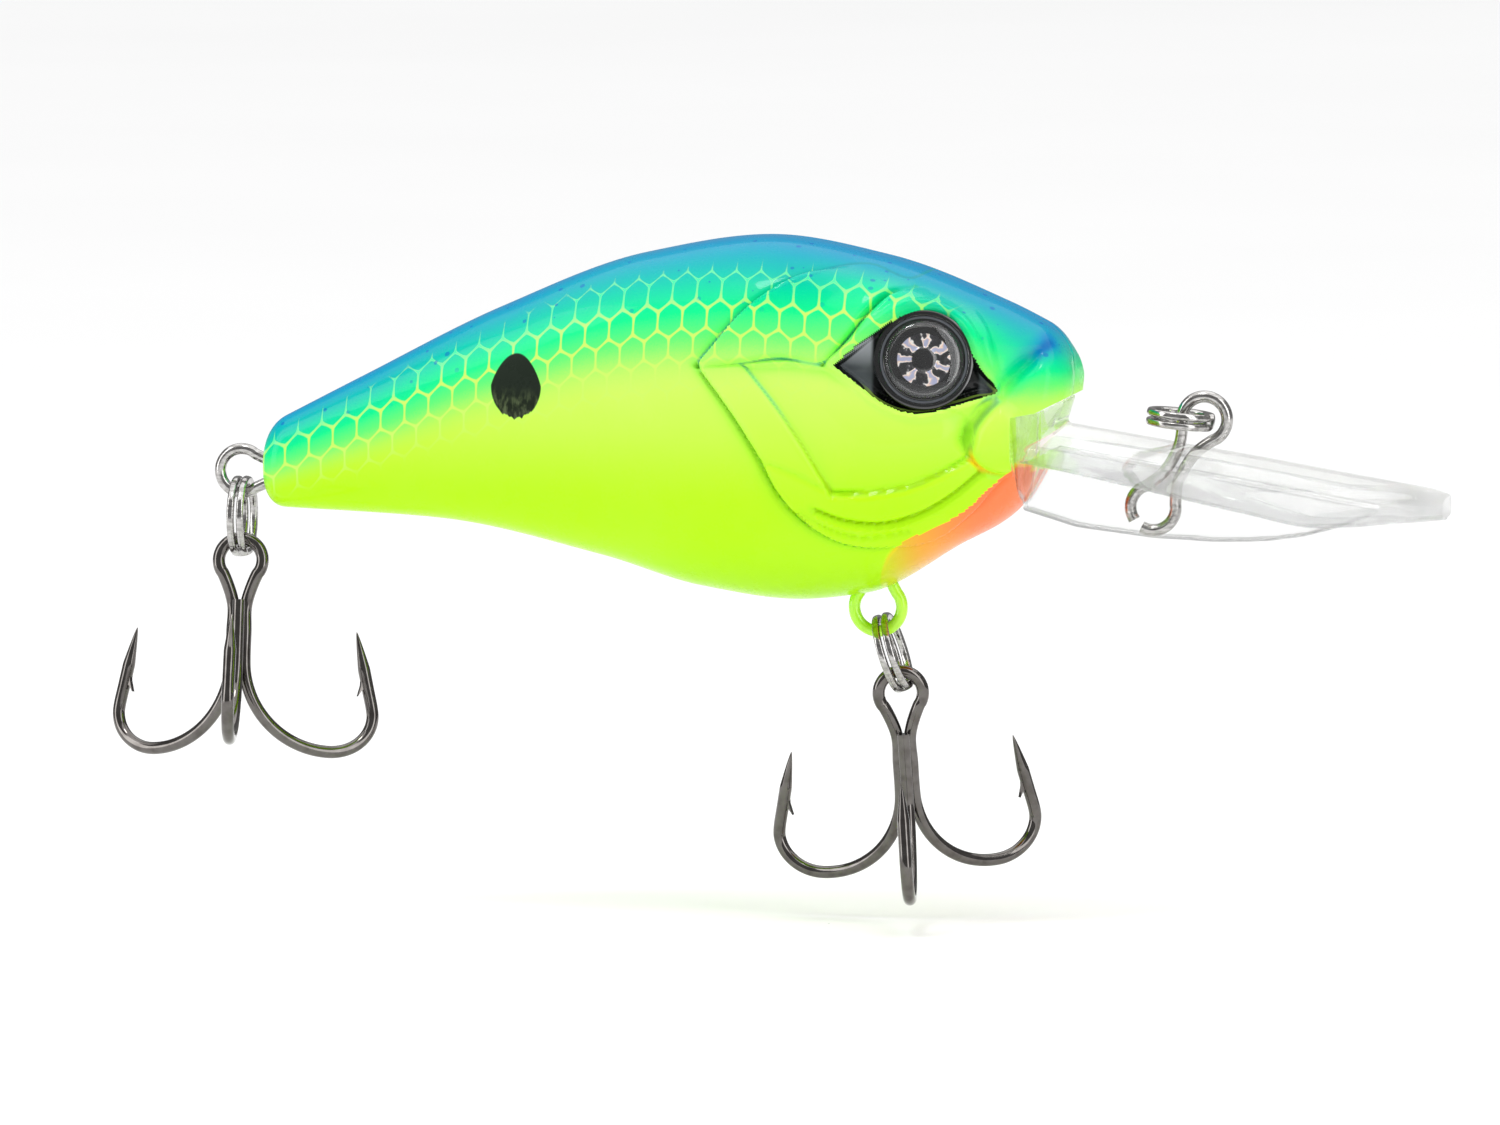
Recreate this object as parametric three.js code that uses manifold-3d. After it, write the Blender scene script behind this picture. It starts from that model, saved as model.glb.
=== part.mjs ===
// Deep-diving crankbait lure, in millimetres, +Z up.
// The origin is the centre of the line-tie eye. +X is the way the lure is pulled, so the diving lip
// lies ahead of the body, and +Y is the lure's left side. The lure is level as it hangs from its
// line tie with its nose slightly up, and both treble hooks hang straight down.

import * as THREE from 'three';
import { mergeVertices } from 'three/addons/utils/BufferGeometryUtils.js';
import Module from 'manifold-3d';

const wasm = await Module();
wasm.setup();

// ---------------------------------------------------------------- driving dimensions

// Body: a loft from tail to nose between a back line and a belly line.
const TAIL_X = -75.6;
const NOSE_X = -10.3;
const TAIL_ROUND = 2.0;      // length over which the tail end rounds off
const NOSE_ROUND = 2.4;
const BACK = [[-75.6, -1.6], [-67.7, 2.5], [-56.2, 8.3], [-44.6, 12.7], [-34.5, 14.2], [-25.3, 12.7],
  [-15.6, 9.1], [-10.3, 6.4]];
const BELLY = [[-75.6, -7.9], [-61.3, -8.65], [-48, -11.4], [-40, -13.7], [-32.5, -14.65], [-26.7, -14.05],
  [-19.5, -10.2], [-15.05, -7.55], [-10.3, 0.6]];
const HALF_WIDTH = [[-75.6, 2.3], [-61.9, 4.7], [-50, 7.4], [-40, 9.4], [-31, 10], [-22, 9.2], [-15, 6.9],
  [-10.3, 5.4]];
const SECTION_POWER = 2.25;  // superellipse power of every cross-section
const WALL = 1.3;
const CAVITY_FRONT_X = -24.5;

// Mouth: the throat ends in a flat face, and the nose overhangs it.
const THROAT_X = -14.3;
const MOUTH_ROOF = [[THROAT_X, 0.5], [-12.6, 0.75], [-10, 2.05]];

// Eyes
const EYE_CENTRE = [-21, 8.3, 5.1];
const EYE_AXIS = [0.25, 1, 0.22];
const EYE_RADIUS = 3.95;
const EYE_THICKNESS = 1.3;
const EYE_RECESS = 0.5;      // front of the disc below the body's surface
const LENS_RISE = 1.0;
const FIT = 0.1;             // clearance round a fixed insert

// Diving lip: an arched tongue of clear plastic with a keel under its middle.
const LIP_TIP_X = 19.3;
const LIP_ROOT_Z = 0.15;
const LIP_SLOPE = -0.1733;
const LIP_THICKNESS = 2.0;
const LIP_HALF_WIDTH = [[THROAT_X, 6.2], [-10, 7.1], [-5, 9], [0, 11], [5, 12.3], [9, 12.5], [13, 11.3],
  [16, 9], [18.2, 5.8], [LIP_TIP_X, 2.6]];
const LIP_DROOP = [[THROAT_X, 1.75], [-5, 1.7], [4, 1.75], [9, 1.95], [13, 1.35], [16, 0.6], [LIP_TIP_X, 0]];
const KEEL_WIDTH = 2.6;
const TAB_WIDTH = 4;
const TAB_BACK_X = -21;

// Wire eyes
const TIE_RADIUS = 1.8;      // centreline of the line-tie loop
const TIE_WIRE = 0.95;
const TIE_LOWER_EYE = [-4.05, -7.0];
const BELLY_EYE = [-26.05, -15.25];
const BELLY_RADIUS = 1.9;
const BELLY_WIRE = 0.95;
const TAIL_EYE = [-77.4, -5.15];
const TAIL_RADIUS = 1.75;
const TAIL_WIRE = 0.9;
const BELLY_LEG = 8;         // from the loop's centre to the ends of the legs
const TAIL_LEG = 9;
const LEG_FOOT = 1.5;        // length of the outward bend that locks each leg
const LEG_SPREAD = 0.7;      // from the middle plane to each leg's centreline

// Split rings: two flat turns of wire
const RING_RADIUS = 2.9;     // centreline
const RING_SECTION = [0.68, 0.62];
const RING_PITCH = 0.74;     // from one turn to the next
const TIE_RING_RADIUS = 2.4;
const TIE_RING_CENTRE = [-1.9, 0];
const TIE_RING_TILT = 6;     // degrees that the ring lies nose-down
const FRONT_RING_DROP = 3.78; // from wire-eye centre to ring centre
const REAR_RING_DROP = 3.63;
const FRONT_RING_LEAN = 18;   // degrees toward the nose

// Treble hooks
const HOOK_WIRE = 1.0;
const FRONT_HOOK_DROP = 1.6;  // from ring centre to the top wire of the hook's eye
const REAR_HOOK_DROP = 1.78;
const HOOK_EYE_RADIUS = 1.75;
const HOOK_NECK_Z = -4.6;    // where the two arms of the pair come together
const HOOK_SHANK_OFFSET = 0.61;
const HOOK_BOTTOM = [8.1, -16.6]; // lowest point of an arm, as [out from the shank, up]
const HOOK_OUTSIDE = [11.8, -13.6];
const HOOK_BEND_RISE = 6.9;  // height of the bend on the shank side
const HOOK_POINT = [10.2, -6.9];
const HOOK_POINT_LENGTH = 3;
const BARB = [[-0.2, 1.3], [-1.05, -1.3], [0.1, -0.6]]; // profile, cut up from the wire's inner side
const BARB_WIDTH = 0.36;
const FRONT_TREBLE_YAW = 10;
const FRONT_TREBLE_SWING = 7; // degrees round the split ring, at rest
const REAR_TREBLE_YAW = 4;
const REAR_TREBLE_SWING = -10;
const SINGLE_TURN = [-4.5, 4.5];  // how far each treble's brazed hook sits off the even 120 degrees
const FRONT_TREBLE_LEAN = 3;   // degrees toward the nose

// Ballast and rattles
const WEIGHT_RADIUS = 3.1;
const WEIGHT_LENGTH = 11;
const WEIGHT_CENTRE = [-38.5, -8.6];
const BALL_RADIUS = 2.1;
const BALL_X = [-55, -50, -45];
const BALL_Z = 0.6;
const PARTITION = 0.9;

const WIRE_SIDES = 6;

// ---------------------------------------------------------------- helpers

const radians = THREE.MathUtils.degToRad;
const group = new THREE.Group();

// Monotone cubic curve through [x, value] pairs.
function along(pairs, x) {
  const last = pairs.length - 1;
  if (x <= pairs[0][0]) return pairs[0][1];
  if (x >= pairs[last][0]) return pairs[last][1];
  let i = 0;
  while (x > pairs[i + 1][0]) i += 1;
  const rise = (k) => (pairs[k + 1][1] - pairs[k][1]) / (pairs[k + 1][0] - pairs[k][0]);
  const slope = (k) => {
    if (k === 0) return rise(0);
    if (k === last) return rise(last - 1);
    const before = rise(k - 1);
    const after = rise(k);
    return before * after <= 0 ? 0 : 2 * before * after / (before + after);
  };
  const width = pairs[i + 1][0] - pairs[i][0];
  const t = (x - pairs[i][0]) / width;
  const t2 = t * t;
  const t3 = t2 * t;
  return (2 * t3 - 3 * t2 + 1) * pairs[i][1] + (t3 - 2 * t2 + t) * width * slope(i)
    + (3 * t2 - 2 * t3) * pairs[i + 1][1] + (t3 - t2) * width * slope(i + 1);
}

function solid(geometry) {
  const bare = geometry.clone();
  bare.deleteAttribute('normal');
  bare.deleteAttribute('uv');
  const merged = mergeVertices(bare, 1e-5);
  return new wasm.Manifold(new wasm.Mesh({
    numProp: 3,
    vertProperties: Float32Array.from(merged.attributes.position.array),
    triVerts: Uint32Array.from(merged.index.array),
  }));
}

function surfaceOf(manifold) {
  const mesh = manifold.getMesh();
  const geometry = new THREE.BufferGeometry();
  geometry.setAttribute('position', new THREE.BufferAttribute(mesh.vertProperties, 3));
  geometry.setIndex(new THREE.BufferAttribute(mesh.triVerts, 1));
  geometry.computeVertexNormals();
  return geometry;
}

function box(x0, x1, y0, y1, z0, z1) {
  const geometry = new THREE.BoxGeometry(x1 - x0, y1 - y0, z1 - z0);
  geometry.translate((x0 + x1) / 2, (y0 + y1) / 2, (z0 + z1) / 2);
  return solid(geometry);
}

function rodAlongY(x, z, radius, y0, y1, sides = 12) {
  const geometry = new THREE.CylinderGeometry(radius, radius, y1 - y0, sides);
  geometry.translate(x, (y0 + y1) / 2, z);
  return solid(geometry);
}

function finish(color, roughness, metalness, opacity = 1) {
  return new THREE.MeshStandardMaterial({ color, roughness, metalness, opacity, transparent: opacity < 1 });
}

function addPart(parent, name, geometry, material) {
  const mesh = new THREE.Mesh(geometry, material);
  mesh.name = name;
  parent.add(mesh);
  return mesh;
}

// A plate of even width across Y whose outline is drawn in X and Z.
function plate(outline, width) {
  const shape = new THREE.Shape(outline.map(([x, z]) => new THREE.Vector2(x, z)));
  const geometry = new THREE.ExtrudeGeometry(shape, { depth: width, bevelEnabled: false });
  geometry.rotateX(Math.PI / 2);
  geometry.translate(0, width / 2, 0);
  return solid(geometry);
}

function roundShape(radius, sides) {
  const points = [];
  for (let i = 0; i < sides; i += 1) {
    const angle = 2 * Math.PI * (i + 0.5) / sides;
    points.push(new THREE.Vector2(radius * Math.cos(angle), radius * Math.sin(angle)));
  }
  return new THREE.Shape(points);
}

// A round wire whose centreline is a smooth curve through points given as [x, y, z].
function wire(points, diameter, steps, sides = WIRE_SIDES) {
  const path = new THREE.CatmullRomCurve3(points.map((p) => new THREE.Vector3(...p)));
  return new THREE.ExtrudeGeometry(roundShape(diameter / 2, sides),
    { extrudePath: path, steps, bevelEnabled: false });
}

// ---------------------------------------------------------------- body shells

// How far a section has opened at x, from 0 at a rounded end to 1 past it.
function endOpening(x, tail, nose) {
  const open = (distance, length) => {
    const short = THREE.MathUtils.clamp(1 - distance / length, 0, 1);
    return Math.pow(1 - Math.pow(short, 2.6), 1 / 2.6);
  };
  return Math.min(open(x - tail, TAIL_ROUND), open(nose - x, NOSE_ROUND));
}

// The body's outer form, or the same form with its surface moved in by inset.
function bodyForm(inset, noseX, rings, sides) {
  const tail = TAIL_X + inset;
  const geometry = new THREE.SphereGeometry(1, sides, rings);
  geometry.rotateZ(-Math.PI / 2);
  const position = geometry.attributes.position;
  for (let i = 0; i < position.count; i += 1) {
    const x = tail + (noseX - tail) * (1 + THREE.MathUtils.clamp(position.getX(i), -1, 1)) / 2;
    const opening = endOpening(x, tail, noseX);
    const top = along(BACK, x) - inset;
    const bottom = along(BELLY, x) + inset;
    const radius = Math.hypot(position.getY(i), position.getZ(i)) || 1;
    const across = position.getY(i) / radius;
    const up = position.getZ(i) / radius;
    const bulge = (v) => Math.sign(v) * Math.pow(Math.abs(v), 2 / SECTION_POWER) * opening;
    position.setXYZ(i, x, (along(HALF_WIDTH, x) - inset) * bulge(across),
      (top + bottom) / 2 + (top - bottom) / 2 * bulge(up));
  }
  return solid(geometry);
}

const bodyOutside = bodyForm(0, NOSE_X, 36, 24);
const cavity = bodyForm(WALL, CAVITY_FRONT_X, 20, 16);

// Everything in front of the throat and under the nose, which the body leaves to the lip.
const mouthRegion = plate([[THROAT_X, -20], [5, -20], [5, MOUTH_ROOF[2][1]], ...MOUTH_ROOF.toReversed()], 40);

// The slot between the halves that holds the lip's tab, and the peg through the tab.
const tabOutline = [[THROAT_X + 1, -6.2], [THROAT_X + 1, 0.2], [TAB_BACK_X, 0.2], [TAB_BACK_X, -6.2]];
const TAB_PEG = [-18.2, -3];
const TAB_PEG_RADIUS = 1.2;

function mirrored(side, [x, y, z]) {
  return new THREE.Vector3(x, side * y, z);
}

// Places a lathe-made piece (axis +Y) on an eye, its axis pointing out of the body.
function placeEyePiece(object, side, lift) {
  const axis = mirrored(side, EYE_AXIS).normalize();
  object.quaternion.setFromUnitVectors(new THREE.Vector3(0, 1, 0), axis);
  object.position.copy(mirrored(side, EYE_CENTRE)).addScaledVector(axis, lift);
  object.updateMatrix();
}

function eyeDrum(side, radius, inner, outer) {
  const geometry = new THREE.CylinderGeometry(radius, radius, outer - inner, 20);
  const carrier = new THREE.Object3D();
  placeEyePiece(carrier, side, (inner + outer) / 2);
  geometry.applyMatrix4(carrier.matrix);
  return solid(geometry);
}

// Wire eye with two legs, in its own XZ plane. The loop is centred on 0, and the legs run up +Z.
function wireEyePoints(radius, legLength) {
  const half = [];
  for (let angle = 270; angle >= 140; angle -= 26) {
    half.push([radius * Math.cos(radians(angle)), 0, radius * Math.sin(radians(angle))]);
  }
  const straight = legLength - LEG_FOOT;
  for (const height of [radius + 1, radius + 2, (radius + 2 + straight) / 2, straight]) {
    half.push([-LEG_SPREAD, 0, height]);
  }
  half.push([-LEG_SPREAD - 1, 0, legLength]);
  const other = half.slice(1).map(([x, y, z]) => [-x, y, z]);
  return [...half.reverse(), ...other];
}

function bellyHanger(diameter) {
  const geometry = wire(wireEyePoints(BELLY_RADIUS, BELLY_LEG), diameter, 40);
  geometry.translate(BELLY_EYE[0], 0, BELLY_EYE[1]);
  return geometry;
}

function tailHanger(diameter) {
  const geometry = wire(wireEyePoints(TAIL_RADIUS, TAIL_LEG), diameter, 40);
  geometry.rotateY(Math.PI / 2);
  geometry.translate(TAIL_EYE[0], 0, TAIL_EYE[1]);
  return geometry;
}

const pegs = [[-33, 9.5], [-66, -2.6], [-30, -3]];

// Ribs that cross the cavity in both halves.
function ribs() {
  const wide = 10;             // past the skin on both sides
  const low = -16;
  const pieces = [];
  const half = PARTITION / 2;
  const pitch = (BALL_X[1] - BALL_X[0]) / 2;
  const floor = BALL_Z - BALL_RADIUS - 0.15;
  const roof = BALL_Z + BALL_RADIUS + 0.3;
  for (const x of [BALL_X[0] - pitch, ...BALL_X.map((ball) => ball + pitch)]) {
    pieces.push(box(x - half, x + half, -wide, wide, floor - PARTITION, roof + PARTITION));
  }
  const front = BALL_X[2] + pitch + half;
  const back = BALL_X[0] - pitch - half;
  pieces.push(box(back, front, -wide, wide, floor - PARTITION, floor));
  pieces.push(box(back, front, -wide, wide, roof, roof + PARTITION));
  for (const offset of [-0.32, 0.32]) {
    const x = WEIGHT_CENTRE[0] + offset * WEIGHT_LENGTH;
    pieces.push(box(x - half, x + half, -wide, wide, low, WEIGHT_CENTRE[1] + 1));
  }
  pieces.push(box(BELLY_EYE[0] - 3, CAVITY_FRONT_X + 2, -wide, wide, low, BELLY_EYE[1] + BELLY_LEG + 1));
  pieces.push(box(TAIL_X - 1, TAIL_EYE[0] + TAIL_LEG + 1.5, -wide, wide, low, 2));
  return pieces;
}

function bodyShell(side) {
  const half = side > 0 ? box(-90, 0, 0, 20, -30, 30) : box(-90, 0, -20, 0, -30, 30);
  let shell = bodyOutside.subtract(cavity);
  for (const rib of ribs()) {
    shell = shell.add(rib.intersect(bodyOutside));
  }
  shell = shell.add(eyeDrum(side, EYE_RADIUS + 1.3, -4, 3).intersect(bodyOutside));
  for (const [x, z] of pegs) {
    shell = shell.add(rodAlongY(x, z, 1.7, -10, 10).intersect(bodyOutside));
  }
  shell = shell.intersect(half).subtract(mouthRegion);
  shell = shell.subtract(eyeDrum(side, EYE_RADIUS + FIT, -EYE_RECESS - EYE_THICKNESS - FIT, 4));
  shell = shell.subtract(plate(tabOutline, TAB_WIDTH + 2 * FIT));
  shell = shell.subtract(solid(bellyHanger(BELLY_WIRE + 2 * FIT)));
  shell = shell.subtract(solid(tailHanger(TAIL_WIRE + 2 * FIT)));
  shell = shell.subtract(ballast(WEIGHT_RADIUS + FIT, WEIGHT_LENGTH + 2 * FIT));
  const tabPeg = rodAlongY(...TAB_PEG, TAB_PEG_RADIUS - FIT, side > 0 ? 0 : -3, side > 0 ? 3 : 0);
  shell = shell.add(tabPeg);
  for (const [x, z] of pegs) {
    shell = side > 0
      ? shell.add(rodAlongY(x, z, 0.8, -1.4, 0.4, 10))
      : shell.subtract(rodAlongY(x, z, 0.8 + FIT, -1.6, 1, 10));
  }
  return surfaceOf(shell);
}

// ---------------------------------------------------------------- ballast and rattle balls

function ballast(radius, length) {
  const geometry = new THREE.CylinderGeometry(radius, radius, length, 14);
  geometry.rotateZ(Math.PI / 2);
  geometry.translate(WEIGHT_CENTRE[0], 0, WEIGHT_CENTRE[1]);
  return solid(geometry);
}

const paint = finish(0xaaf52a, 0.18, 0);
addPart(group, 'shell_right', bodyShell(-1), paint);
addPart(group, 'shell_left', bodyShell(1), paint.clone());
addPart(group, 'belly_weight', surfaceOf(ballast(WEIGHT_RADIUS, WEIGHT_LENGTH)), finish(0x8d8f92, 0.5, 1));

BALL_X.forEach((x, index) => {
  const ball = addPart(group, `rattle_ball_${index + 1}`, new THREE.SphereGeometry(BALL_RADIUS, 12, 8),
    finish(0xb9bcc0, 0.25, 1));
  ball.position.set(x, 0, BALL_Z);
});

// ---------------------------------------------------------------- eyes

function eyeDiscGeometry() {
  const radius = EYE_RADIUS;
  const back = -EYE_RECESS - EYE_THICKNESS;
  const profile = [[0, back], [radius, back], [radius, -EYE_RECESS], [radius - 0.5, -EYE_RECESS],
    [radius - 0.7, -EYE_RECESS - 0.2], [0, -EYE_RECESS - 0.2]];
  return new THREE.LatheGeometry(profile.map(([r, z]) => new THREE.Vector2(r, z)), 20);
}

// A clear domed cap, hollow beneath, that stands on the disc's rim.
function eyeLensGeometry() {
  const radius = EYE_RADIUS - 0.05;
  const base = -EYE_RECESS + 0.05;
  const dome = (share, rise) => new THREE.Vector2(radius * share, base + rise * (1 - share * share));
  const profile = [];
  for (const share of [0, 0.5, 0.8]) {
    profile.push(dome(share, LENS_RISE - 0.5));
  }
  profile.push(new THREE.Vector2(radius * 0.92, base));
  profile.push(new THREE.Vector2(radius, base));
  for (const share of [0.9, 0.6, 0.3, 0]) {
    profile.push(dome(share, LENS_RISE));
  }
  return new THREE.LatheGeometry(profile, 20);
}

for (const [side, name] of [[-1, 'right'], [1, 'left']]) {
  const disc = addPart(group, `eye_disc_${name}`, eyeDiscGeometry(), finish(0x14161a, 0.25, 0.4));
  const lens = addPart(group, `eye_lens_${name}`, eyeLensGeometry(), finish(0xffffff, 0.05, 0, 0.3));
  placeEyePiece(disc, side, 0);
  placeEyePiece(lens, side, 0);
}

// ---------------------------------------------------------------- diving lip

function lipCrest(x) {
  return LIP_ROOT_Z + LIP_SLOPE * (x - THROAT_X);
}

function lipBlade() {
  const geometry = new THREE.BoxGeometry(1, 1, 1, 20, 10, 2);
  const position = geometry.attributes.position;
  for (let i = 0; i < position.count; i += 1) {
    const share = position.getX(i) + 0.5;
    const eased = Math.sin(share * Math.PI / 2);
    const x = THREE.MathUtils.lerp(THROAT_X, LIP_TIP_X, 0.5 * share + 0.5 * eased);
    const v = 2 * position.getY(i);
    const level = position.getZ(i);
    const thickness = LIP_THICKNESS * (1 - 0.25 * v * v);
    const sheer = level === 0 ? 1 : 0.97;
    const z = lipCrest(x) - along(LIP_DROOP, x) * Math.pow(Math.abs(v), 2.2)
      - LIP_THICKNESS / 2 + level * thickness;
    position.setXYZ(i, x, along(LIP_HALF_WIDTH, x) * v * sheer, z);
  }
  return solid(geometry);
}

// The figure-eight wire: line-tie loop above the lip, second loop moulded into the keel.
function tieWire(diameter) {
  const [lowerX, lowerZ] = TIE_LOWER_EYE;
  const reach = Math.hypot(lowerX, lowerZ);
  const upper = [];
  for (let angle = 0; angle <= 130; angle += 26) {
    upper.push([TIE_RADIUS * Math.sin(radians(angle)), 0, TIE_RADIUS * Math.cos(radians(angle))]);
  }
  upper.push([LEG_SPREAD, 0, -TIE_RADIUS - 1]);
  const lower = [[LEG_SPREAD, 0, -reach + TIE_RADIUS + 1]];
  for (let angle = 130; angle >= 0; angle -= 26) {
    lower.push([TIE_RADIUS * Math.sin(radians(angle)), 0, -reach - TIE_RADIUS * Math.cos(radians(angle))]);
  }
  const right = [...upper, ...lower];
  const left = [...upper.slice(1), ...lower.slice(0, -2)].map(([x, y, z]) => [-x, y, z]);
  const geometry = wire([...right.toReversed(), ...left], diameter, 60);
  geometry.rotateY(Math.atan2(-lowerX, -lowerZ));
  return geometry;
}

function divingLip() {
  const keelOutline = [[THROAT_X, -7.3], [-10, -8.6], [-4, -9.35], [1, -9.6], [5, -9.5], [8, -9.1],
    [11, -8.3], [13.5, -7.3], [15, lipCrest(15) - 1], [THROAT_X, lipCrest(THROAT_X) - 1]];
  const chin = bodyOutside.intersect(plate([[THROAT_X, -8], [-10, -6], [-10, MOUTH_ROOF[2][1]],
    ...MOUTH_ROOF.toReversed()], 40));
  const ahead = box(THROAT_X, LIP_TIP_X + 10, -20, 20, -20, 10);
  let lip = lipBlade().add(plate(keelOutline, KEEL_WIDTH)).add(chin).intersect(ahead);
  const tab = tabOutline.map(([x, z]) => [x, THREE.MathUtils.clamp(z, -6.2 + FIT, 0.2 - FIT)]);
  tab[2][0] += FIT;
  tab[3][0] += FIT;
  lip = lip.add(plate(tab, TAB_WIDTH)).subtract(rodAlongY(...TAB_PEG, TAB_PEG_RADIUS, -5, 5));
  return surfaceOf(lip.subtract(solid(tieWire(TIE_WIRE + 0.12))));
}

addPart(group, 'diving_lip', divingLip(), finish(0xe9efe6, 0.06, 0, 0.35));
const steel = finish(0xc4c6c9, 0.22, 1);
addPart(group, 'line_tie_wire', tieWire(TIE_WIRE), steel);
addPart(group, 'belly_hanger', bellyHanger(BELLY_WIRE), finish(0xaaf52a, 0.2, 0));
addPart(group, 'tail_hanger', tailHanger(TAIL_WIRE), steel.clone());

// ---------------------------------------------------------------- split rings

// Two flat turns joined by one step, wound about the ring's own Z axis.
class RingPath extends THREE.Curve {
  constructor(radius) {
    super();
    this.radius = radius;
  }

  getPoint(t, target = new THREE.Vector3()) {
    const turn = THREE.MathUtils.lerp(22, 698, t);
    const step = THREE.MathUtils.smoothstep(turn, 340, 380) - 0.5;
    const angle = radians(turn);
    return target.set(this.radius * Math.cos(angle), this.radius * Math.sin(angle), RING_PITCH * step);
  }
}

function splitRing(radius) {
  const [thick, wide] = RING_SECTION.map((size) => size / 2);
  const corner = 0.12;
  const outline = [[thick, 0], [thick - corner, wide], [corner - thick, wide], [-thick, 0],
    [corner - thick, -wide], [thick - corner, -wide]];
  return new THREE.ExtrudeGeometry(new THREE.Shape(outline.map(([x, y]) => new THREE.Vector2(x, y))),
    { extrudePath: new RingPath(radius), steps: 42, bevelEnabled: false });
}

// The line-tie ring lies back over the lip.
const tieRing = addPart(group, 'line_tie_split_ring', splitRing(TIE_RING_RADIUS), steel.clone());
tieRing.position.set(TIE_RING_CENTRE[0], 0, TIE_RING_CENTRE[1]);
tieRing.rotation.y = radians(TIE_RING_TILT);

// ---------------------------------------------------------------- treble hooks

// One hook arm in its own plane: r is out from the shank, z is up from the eye's top wire.
function armPoints(topZ) {
  const [bottomR, bottomZ] = HOOK_BOTTOM;
  const bendTop = bottomZ + HOOK_BEND_RISE;
  const points = [[HOOK_SHANK_OFFSET, topZ], [HOOK_SHANK_OFFSET, (topZ + bendTop) / 2]];
  for (let angle = 180; angle < 270; angle += 18) {
    points.push([bottomR + (bottomR - HOOK_SHANK_OFFSET) * Math.cos(radians(angle)),
      bendTop + HOOK_BEND_RISE * Math.sin(radians(angle))]);
  }
  for (let angle = 270; angle <= 372; angle += 25.5) {
    points.push([bottomR + (HOOK_OUTSIDE[0] - bottomR) * Math.cos(radians(angle)),
      HOOK_OUTSIDE[1] + (HOOK_OUTSIDE[1] - bottomZ) * Math.sin(radians(angle))]);
  }
  const [fromR, fromZ] = points.at(-1);
  const reach = Math.hypot(HOOK_POINT[0] - fromR, HOOK_POINT[1] - fromZ);
  const share = 1 - HOOK_POINT_LENGTH / reach;
  const straight = [fromR, fromZ].map((from, k) => THREE.MathUtils.lerp(from, HOOK_POINT[k], share));
  return [...points, straight];
}

function turned([r, z], azimuth) {
  return [r * Math.cos(radians(azimuth)), r * Math.sin(radians(azimuth)), z];
}

// The ground point and the barb at the end of an arm.
function addPoint(hook, azimuth) {
  const arm = armPoints(-5);
  const [baseR, baseZ] = arm.at(-1);
  const tip = HOOK_POINT;
  const lean = Math.atan2(tip[0] - baseR, tip[1] - baseZ);
  const overlap = 0.2;
  const length = HOOK_POINT_LENGTH + overlap;
  const cone = new THREE.CylinderGeometry(0.04, HOOK_WIRE / 2 * 0.98, length, WIRE_SIDES);
  cone.rotateX(Math.PI / 2);
  cone.translate(0, 0, length / 2 - overlap);
  const barbShape = new THREE.Shape(BARB.map(([x, z]) => new THREE.Vector2(x, z)));
  const barb = new THREE.ExtrudeGeometry(barbShape, { depth: BARB_WIDTH, bevelEnabled: false });
  barb.rotateX(Math.PI / 2);
  barb.translate(0, BARB_WIDTH / 2, 0);
  const place = (geometry, lift) => {
    geometry.rotateY(lean);
    geometry.translate(baseR - lift * Math.sin(lean), 0, baseZ - lift * Math.cos(lean));
    geometry.rotateZ(radians(azimuth));
    return solid(geometry);
  };
  return hook.add(place(cone, 0)).add(place(barb, 0.7));
}

// Two arms bent from one wire, with the eye between them.
function pairHook() {
  const half = [];
  for (let angle = 90; angle <= 220; angle += 26) {
    half.push([HOOK_EYE_RADIUS * Math.cos(radians(angle)), 0,
      HOOK_EYE_RADIUS * Math.sin(radians(angle)) - HOOK_EYE_RADIUS]);
  }
  const arm = (azimuth) => armPoints(HOOK_NECK_Z - 0.6).map((point) => turned(point, azimuth));
  const right = half.map(([x, y, z]) => [-x, y, z]);
  const points = [...arm(150).reverse(), ...half.slice(1).reverse(), ...right, ...arm(30)];
  return surfaceOf(addPoint(addPoint(solid(wire(points, HOOK_WIRE, 84)), 30), 150));
}

function singleHook() {
  const points = armPoints(HOOK_NECK_Z - 0.35).map((point) => turned(point, 270));
  return surfaceOf(addPoint(solid(wire(points, HOOK_WIRE, 28)), 270));
}

const blackNickel = finish(0x3c3a3b, 0.16, 1);

function hangTreble(name, eye, drop, hookDrop, ringLean, lean, swing, yaw, singleTurn) {
  const ringPlace = new THREE.Group();
  ringPlace.position.set(eye[0], 0, eye[1]);
  ringPlace.rotation.y = radians(-ringLean);
  group.add(ringPlace);
  const ring = addPart(ringPlace, `${name}_split_ring`, splitRing(RING_RADIUS), steel.clone());
  ring.position.z = -drop;
  ring.rotation.y = Math.PI / 2;
  const swingPlace = new THREE.Group();
  swingPlace.position.z = -drop;
  swingPlace.rotation.x = radians(swing);
  ringPlace.add(swingPlace);
  const hooks = new THREE.Group();
  hooks.position.z = -hookDrop;
  hooks.rotation.y = radians(ringLean - lean);
  swingPlace.add(hooks);
  const turn = new THREE.Group();
  turn.rotation.z = radians(yaw);
  hooks.add(turn);
  addPart(turn, `${name}_treble_pair`, pairHook(), blackNickel.clone());
  const single = addPart(turn, `${name}_treble_single`, singleHook(), blackNickel.clone());
  single.rotation.z = radians(singleTurn);
}

hangTreble('front', BELLY_EYE, FRONT_RING_DROP, FRONT_HOOK_DROP, FRONT_RING_LEAN, FRONT_TREBLE_LEAN,
  FRONT_TREBLE_SWING, FRONT_TREBLE_YAW, SINGLE_TURN[0]);
hangTreble('rear', TAIL_EYE, REAR_RING_DROP, REAR_HOOK_DROP, 0, 0,
  REAR_TREBLE_SWING, REAR_TREBLE_YAW, SINGLE_TURN[1]);

export default group;
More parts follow.
